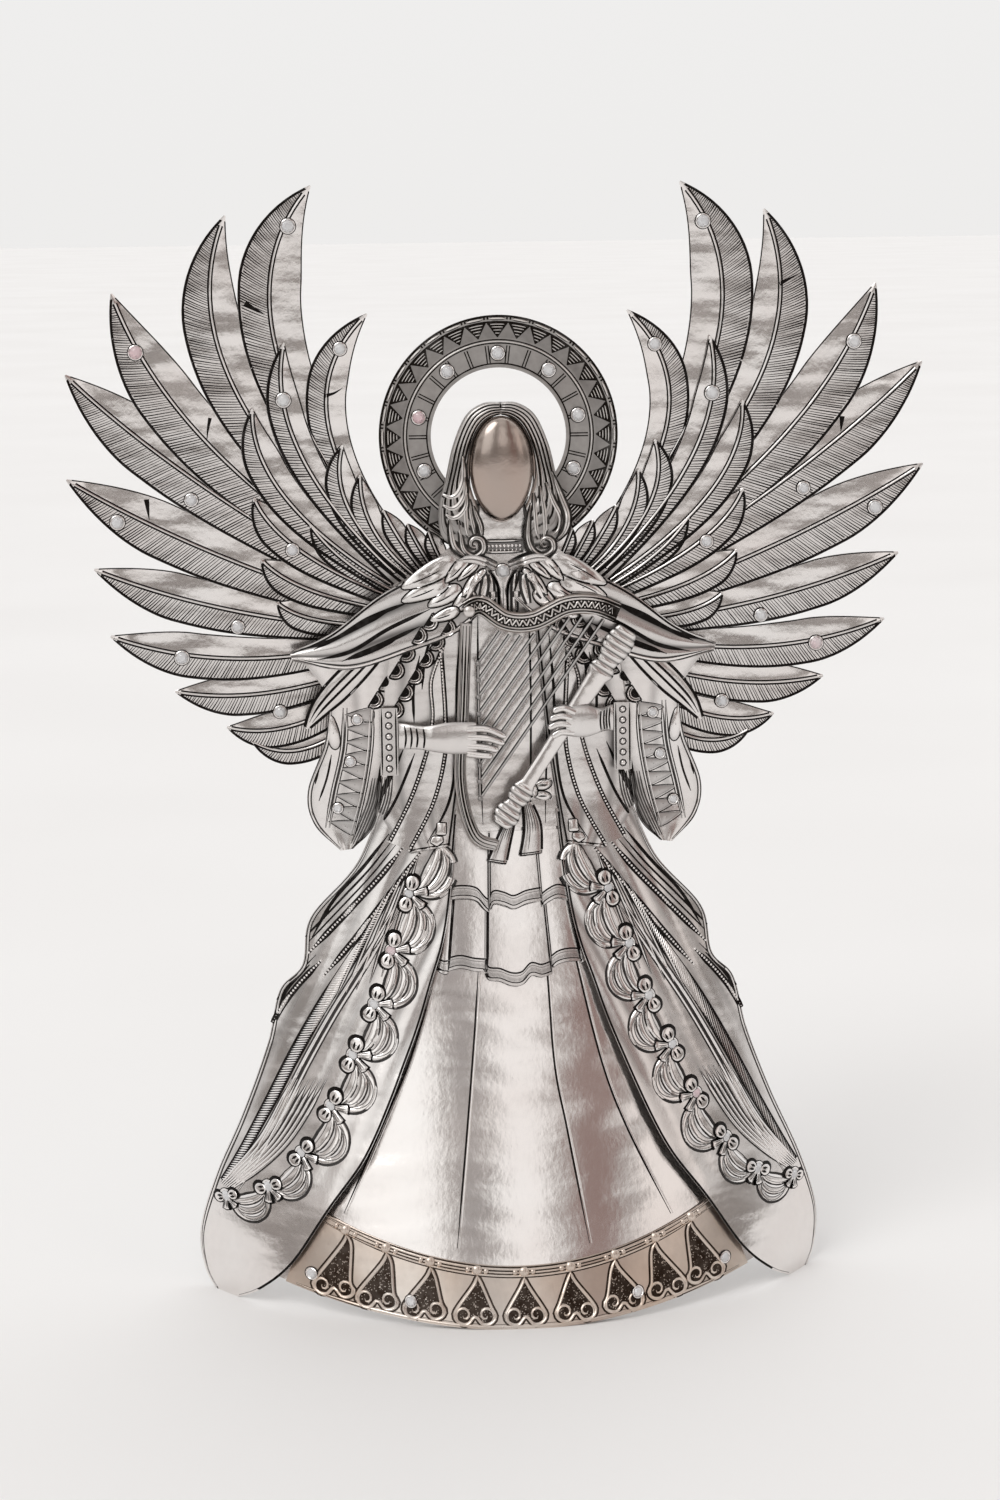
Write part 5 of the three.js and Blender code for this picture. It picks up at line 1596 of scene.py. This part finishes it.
def dressCloak(side, label):
    piece, fineLines = Piece("cloak_panel_" + label), []
    base = layerDepth("cloak")
    rope = np.array(cloak["rope"])

    def fold(x, z, v):
        # shallow pleats that run down and out from the waist
        across = np.abs(x) - 0.5 * (140 - z)
        return np.sin(across * 0.5)**2 * (1 - smooth(v, 0.4, 0.75))

    def front(x, z, u, v):
        wave = ripple(np.abs(x), z, 0.22, 13.0) * smooth(v, 0.25, 0.6)
        return bodyDepth(x, z) + base + 0.72 + 0.3 * fold(x, z, v) + wave

    def tone(x, z, u, v):
        # the upper part is darker than the smooth foot
        return 0.04 + (0.12 + 0.25 * (1 - fold(x, z, v))**4) * (1 - smooth(v, 0.35, 0.75))

    def knotGround(x, z):
        return bodyDepth(x, z) + base + 1.75
    piece.sheet(between(cloak["inner"], cloak["outer"], side), 70, 130, front,
                onBody(base), tone)
    piece.settle()
    piece.stroke(flipped(inShares(cloak["inner"]), side) + (0.5 * side, 0), 0.5, ends=(1, 1))
    piece.cord(flipped(inShares(cloak["outer"]), side) - (0.8 * side, 0), 0.5, rise=0.2, edge=0.2)
    bows = np.array(cloak["bows"])
    for k, (a, b) in enumerate(zip(bows[:-1], bows[1:])):
        way = (b - a) / np.hypot(*(b - a))
        aside = np.array([way[1], -way[0]])
        t = np.linspace(0, 1, 15)[:, None]
        swing, arch = np.cos(pi * t), np.sin(pi * t)**0.7
        size = 1 if k < 6 else 0.8
        for bulge, full in cloak["swagRibs"]:
            curve = a + (b - a) * (0.52 - 0.42 * swing) + aside * bulge * size * arch
            piece.cord(flipped(curve, side), full, rise=0.5, edge=0.32, smoothed=False,
                       widths=[0.5, 0.75 * full * size, full * size, 0.8 * full * size, 0.4])
            for off in (-0.22, 0.24):
                inside = a + (b - a) * (0.52 - 0.36 * swing) + aside * (bulge + off * full) * size * arch
                fineLines.append((flipped(inside[1:-1], side), 0.16 if full > 3 else 0.22))
    p = resample(flipped(rope, side), cloak["strokeGap"])
    way = np.gradient(p, axis=0)
    way /= np.hypot(*way.T)[:, None]
    widths = cloak["ropeWidth"]
    wide = np.interp(np.linspace(0, 1, len(p)), np.linspace(0, 1, len(widths)), widths)
    piece.stroke(p, 3, widths=[w + 0.5 for w in widths], smoothed=False)
    for at, along, half in zip(p[1:-1], way[1:-1], wide[1:-1] / 2):
        over, ahead = np.array([along[1], -along[0]]) * half, along * half * 0.9
        twist = [at - over - ahead, at + over + ahead]
        piece.stroke(twist, 0.42, tone=0.0, rise=0.28, smoothed=False, lift=0.06)
    for shift, width in cloak["cords"]:
        piece.cord(flipped(rope - (shift, 0.3 * shift), side), width, rise=0.4, edge=0.25)
    for path in [cloak["darkBeads"]] + cloak["lobes"]:
        piece.stroke(flipped(path, side), 1.5)
        piece.beads(flipped(path, side), 0.46, 1.05)
    for path in cloak["lobes"]:
        piece.stroke(flipped(np.array(path) + (1.5, 1.5), side), 0.4)
        piece.stroke(flipped(np.array(path) + (2.8, 2.4), side), 0.5)
    for path in cloak["shade"]:
        piece.stroke(flipped(path, side), 0.8)
    for path in cloak["pleats"]:
        piece.cord(flipped(path, side), 0.5, rise=0.25, edge=0.25)
    for k in range(cloak["fan"]):
        line = pathBetween(cloak["fanEdges"], (k + 0.5) / cloak["fan"])
        piece.cord(flipped(line, side), 0.8, rise=0.35, edge=0.22, ends=(0.2, 0.4))
    piece.settle()
    for path, wide in fineLines:  # these lie on the cords
        piece.stroke(path, wide, tone=0.8, lift=0.04)
    for k, (x, z) in enumerate(cloak["bows"][1:], 1):
        after = bows[min(k + 1, len(bows) - 1)] - bows[min(k, len(bows) - 2)]
        chain = np.degrees(np.arctan2(after[1], after[0]))
        tieBow(piece, side, x, z, chain, cloak["bowSize"][k], knotGround)
        depth = float(piece.depthAt([side * x], [z])[0][0])
        bowGems.append((side * x, z, depth + 0.25, 1.5))
    piece.make(silver, "cloak_" + label)


for side, label in bothSides:
    dressCloak(side, label)
print("cloaks made")

# Crystals in their ring settings
# radius and height of the small ones on the wings, sleeves and hem
gem = {"radius": 2.0, "height": 1.5, "sides": 8, "bowHeight": 1.1,
       "onWing": (1.6, 1.2), "onSleeve": (1.2, 0.9), "onHem": (1.3, 1.0)}
haloGem = {"radius": 24.2, "turn": 0.665, "count": 7, "size": 1.7}
roseGems, roseBows = ("halo_gem_2", "wing_gem_left_2", "wing_gem_right_4"), (4, 9)
moreGems = [(46.2, 279.2, "wing"), (90.6, 236, "wing"), (61.4, 220.8, "covert"), (78, 198.2, "wing"),
            (66.2, 172.5, "wing")]
wingGems = [(0.476, 0.965, "wing"), (0.83, 0.856, "wing"), (0.884, 0.705, "wing"), (0.746, 0.581, "wing"),
            (0.496, 0.812, "covert")]


def slopeAt(x, z):
    # how the body falls away across and up, for what is set on it
    aside = float(bodyDepth(x + 1, z) - bodyDepth(x - 1, z)) / 2
    upward = float(bodyDepth(x, z + 1) - bodyDepth(x, z - 1)) / 2
    return aside, upward


def cutGem(piece, x, z, depth, radius, height, lean):
    # pointed facets between a flat table and the girdle
    n = gem["sides"]
    rings = [(1.0, 0.0, 0.0), (1.0, 0.33, 0.0), (0.8, 0.66, 0.5), (0.55, 1.0, 0.0)]
    points = []
    for r, up, shift in rings:
        for k in range(n):
            turn = (k + shift) * 2 * pi / n
            points.append((x + radius * r * cos(turn), depth + height * up, z + radius * r * sin(turn)))
    around, faces = ringFaces(n, 1)
    low, mid, high = n, 2 * n, 3 * n
    for k, after in around:
        faces += [(low + k, low + after, mid + k), (mid + k, high + after, high + k),
                  (mid + k, low + after, mid + after),
                  (mid + k, mid + after, high + after)]
    points = np.array(points)
    points[:, 1] += lean[0] * (points[:, 0] - x) + lean[1] * (points[:, 2] - z)
    piece.addUnlike(points, faces + [[high + k for k in range(n)], list(range(n - 1, -1, -1))], 0.0)


def dressGems():
    cups = Piece("crystal_settings")

    def setting(x, z, depth, radius, lean):
        # a bright rolled rim with a dark flat ring round it
        turn = np.linspace(0, 2 * pi, 20, endpoint=False)
        rim = [(radius + 0.45, 0.0), (radius + 0.4, 0.35), (radius + 0.15, 0.5), (radius - 0.05, 0.35),
               (radius - 0.1, 0.0)]
        for rings, tone in ((rim, 0.05), ([(radius + 0.65, 0.06), (radius + 0.3, 0.06)], 1.0)):
            across = np.stack([r * np.cos(turn) for r, up in rings], -1)
            above = np.stack([r * np.sin(turn) for r, up in rings], -1)
            level = depth + lean[0] * across + lean[1] * above + np.array([up for r, up in rings])
            cups.grid(x + across, z + above, level, tone, closed=True, flip=True)

    def mount(piece, x, z, depth, radius, height, lean=(0.0, 0.0)):
        cutGem(piece, x, z, depth, radius, height, lean)
        setting(x, z, depth, radius, lean)

    def place(name, node, x, z, depth, radius):
        piece = Piece(name)
        mount(piece, x, z, depth, radius, gem["height"] * radius / gem["radius"])
        piece.make(roseGlass if name in roseGems else clearGlass, node, slot="crystal", facets=True)
    front = layerDepth("halo") + body["sheet"] + 0.25
    for k in range(haloGem["count"]):
        turn = (k - haloGem["count"] // 2) * haloGem["turn"]
        place(f"halo_gem_{k + 1}", f"halo_crystal_{k + 1}", haloGem["radius"] * sin(turn),
              halo["centre"] + haloGem["radius"] * cos(turn), front, haloGem["size"])
    collar = float(bodyDepth(0.0, 214.0)) + layerDepth("bodice") + 1.1
    place("collar_gem", "collar_crystal", 0.0, 214.0, collar, 1.8)
    for side, label in bothSides:
        for k, (x, z, layer) in enumerate(wingGems):
            at = side * x * body["reach"], z * body["height"], layerDepth(layer) + 0.9
            place(f"wing_gem_{label}_{k + 1}", f"wing_crystal_{label}_{k + 1}", *at, 1.8)
    small, rose = Piece("small_crystals"), Piece("rose_crystals")
    for k, (x, z, depth, radius) in enumerate(bowGems):
        mount(rose if k in roseBows else small, x, z, depth, radius, gem["bowHeight"], slopeAt(x, z))
    for side in (1, -1):
        for x, z, layer in moreGems:
            mount(small, side * x, z, layerDepth(layer) + 0.95, *gem["onWing"])
        for x, z in sleeve["gems"]:
            depth = float(bodyDepth(x, z)) + layerDepth("sleeve") + 1.15
            mount(small, side * x, z, depth, *gem["onSleeve"], slopeAt(side * x, z))
    for x in hem["gems"]:
        z = float(hemLine(x)) + 5.2
        depth = float(bodyDepth(x, z)) + layerDepth("covert") + 1.1
        mount(small, x, z, depth, *gem["onHem"], slopeAt(x, z))
    small.make(clearGlass, slot="crystal", facets=True)
    rose.make(roseGlass, slot="crystal", facets=True)
    cups.make(silver)


dressGems()
print("crystals made")

# the nodes behind the figure keep their own shapes
backNodes = ["tree_cone", "spine", "wing_bar", "spacer_left", "spacer_right"]
backNodes += [f"rivet_{k}" for k in range(1, 5)]
for node in backNodes:
    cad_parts[node].data.materials.clear()
    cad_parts[node].data.materials.append(satin)

# Floor, light and camera
stage = {"floor": 20.0, "floorColour": (0.8, 0.79, 0.78),
         "target": (-0.75, 29.05, 159.0), "distance": 900.0, "azimuth": -4.5, "elevation": 10.5,
         "roll": -0.7, "lens": 72.0}
studio = {
    "strength": 0.9,
    "room": [(0.4, (0.62, 0.6, 0.58)), (0.49, (0.4, 0.37, 0.35)), (0.52, (0.2, 0.175, 0.16)),
             (0.58, (0.3, 0.27, 0.25)),
             (0.64, (0.85, 0.82, 0.8)), (0.7, (0.36, 0.32, 0.3)), (0.76, (0.88, 0.86, 0.84)),
             (0.82, (0.5, 0.46, 0.44)),
             (0.9, (0.92, 0.9, 0.88)), (1.0, (0.8, 0.78, 0.77))],
    "rear": [(0.5, (0.95, 0.94, 0.93)), (0.7, (1, 1, 1))],
    # soft boxes and dark strips: middle and half width across, middle and half height, colour
    "boxes": [(-0.5, 0.22, 0.42, 0.3, (1.25, 1.24, 1.22)), (0.1, 0.12, 0.4, 0.26, (1.15, 1.12, 1.1)),
              (0.42, 0.09, 0.45, 0.5, (0.3, 0.2, 0.18)), (0.72, 0.1, 0.35, 0.25, (1.05, 0.98, 0.94)),
              (-0.15, 0.05, 0.5, 0.5, (0.32, 0.29, 0.28))],
    "boxEdge": 0.06,
    # name, direction, strength, spread in degrees
    "suns": [("key", (0.5, 0.45, -0.8), 0.7, 35), ("rear", (-0.2, -0.6, -0.8), 0.35, 50)],
}


def setFloor():
    size = stage["floor"]
    mesh = bpy.data.meshes.new("floor_sheet")
    corners = [(-size, -size, 0), (size, -size, 0), (size, size, 0), (-size, size, 0)]
    mesh.from_pydata(corners, [], [(0, 1, 2, 3)])
    floor = putIn("floor_sheet", mesh)
    material, f = startMaterial("pale_floor")
    cloud = f.noise(3, 2)
    shader = f.node("ShaderNodeBsdfPrincipled", {}, {
        "Base Color": f.mixed(cloud, stage["floorColour"], (0.88, 0.875, 0.87)),
        "Roughness": 0.75 + 0.1 * cloud,
    }, "BSDF")
    f.finish(shader)
    mesh.materials.append(material)


def setWorld():
    world = bpy.data.worlds.new("studio")
    world.use_nodes = True
    bpy.context.scene.world = world
    f = Finish(world.node_tree)
    at = f.node("ShaderNodeTexCoord", output="Generated")
    split = f.node("ShaderNodeSeparateXYZ", {}, {0: at}, None)
    x, y, z = (Wire(f, split.outputs[k]) for k in range(3))
    rise = z * 0.5 + 0.5

    def inside(value, middle, half):
        return ((half - (value - middle).unsigned()) * (1 / studio["boxEdge"]) + 0.5).clamped()
    room = f.node("ShaderNodeValToRGB", {"stops": studio["room"]}, {"Fac": rise}, "Color")
    for across, halfAcross, up, halfUp, colour in studio["boxes"]:
        room = f.mixed(inside(x, across, halfAcross) * inside(z, up, halfUp), room, colour)
    rear = f.node("ShaderNodeValToRGB", {"stops": studio["rear"]}, {"Fac": rise}, "Color")
    colour = f.mixed((y * 2.5 + 0.5).clamped(), room, rear)
    light = f.node("ShaderNodeBackground", {}, {"Color": colour, "Strength": studio["strength"]},
                   "Background")
    f.finish(light, "World")


def setSun(name, aim, strength, spread):
    sun = bpy.data.lights.new(name, "SUN")
    sun.energy, sun.angle = strength, radians(spread)
    putIn(name, sun).rotation_euler = Vector(aim).to_track_quat("-Z", "Y").to_euler()


def setCamera():
    camera = bpy.data.cameras.new("camera")
    camera.sensor_fit, camera.sensor_height, camera.lens = "VERTICAL", 36.0, stage["lens"]
    camera.clip_start = 0.01
    thing = putIn("camera", camera)
    a, e = radians(stage["azimuth"]), radians(stage["elevation"])
    back = Vector((sin(a) * cos(e), -cos(a) * cos(e), sin(e)))
    thing.location = Vector(stage["target"]) * mm + back * stage["distance"] * mm
    turn = (-back).to_track_quat("-Z", "Y") @ Quaternion((0, 0, 1), radians(stage["roll"]))
    thing.rotation_euler = turn.to_euler()
    bpy.context.scene.camera = thing


setFloor()
setWorld()
for sun in studio["suns"]:
    setSun(*sun)
setCamera()
bpy.context.scene.view_settings.view_transform = "Standard"
print("stage set")
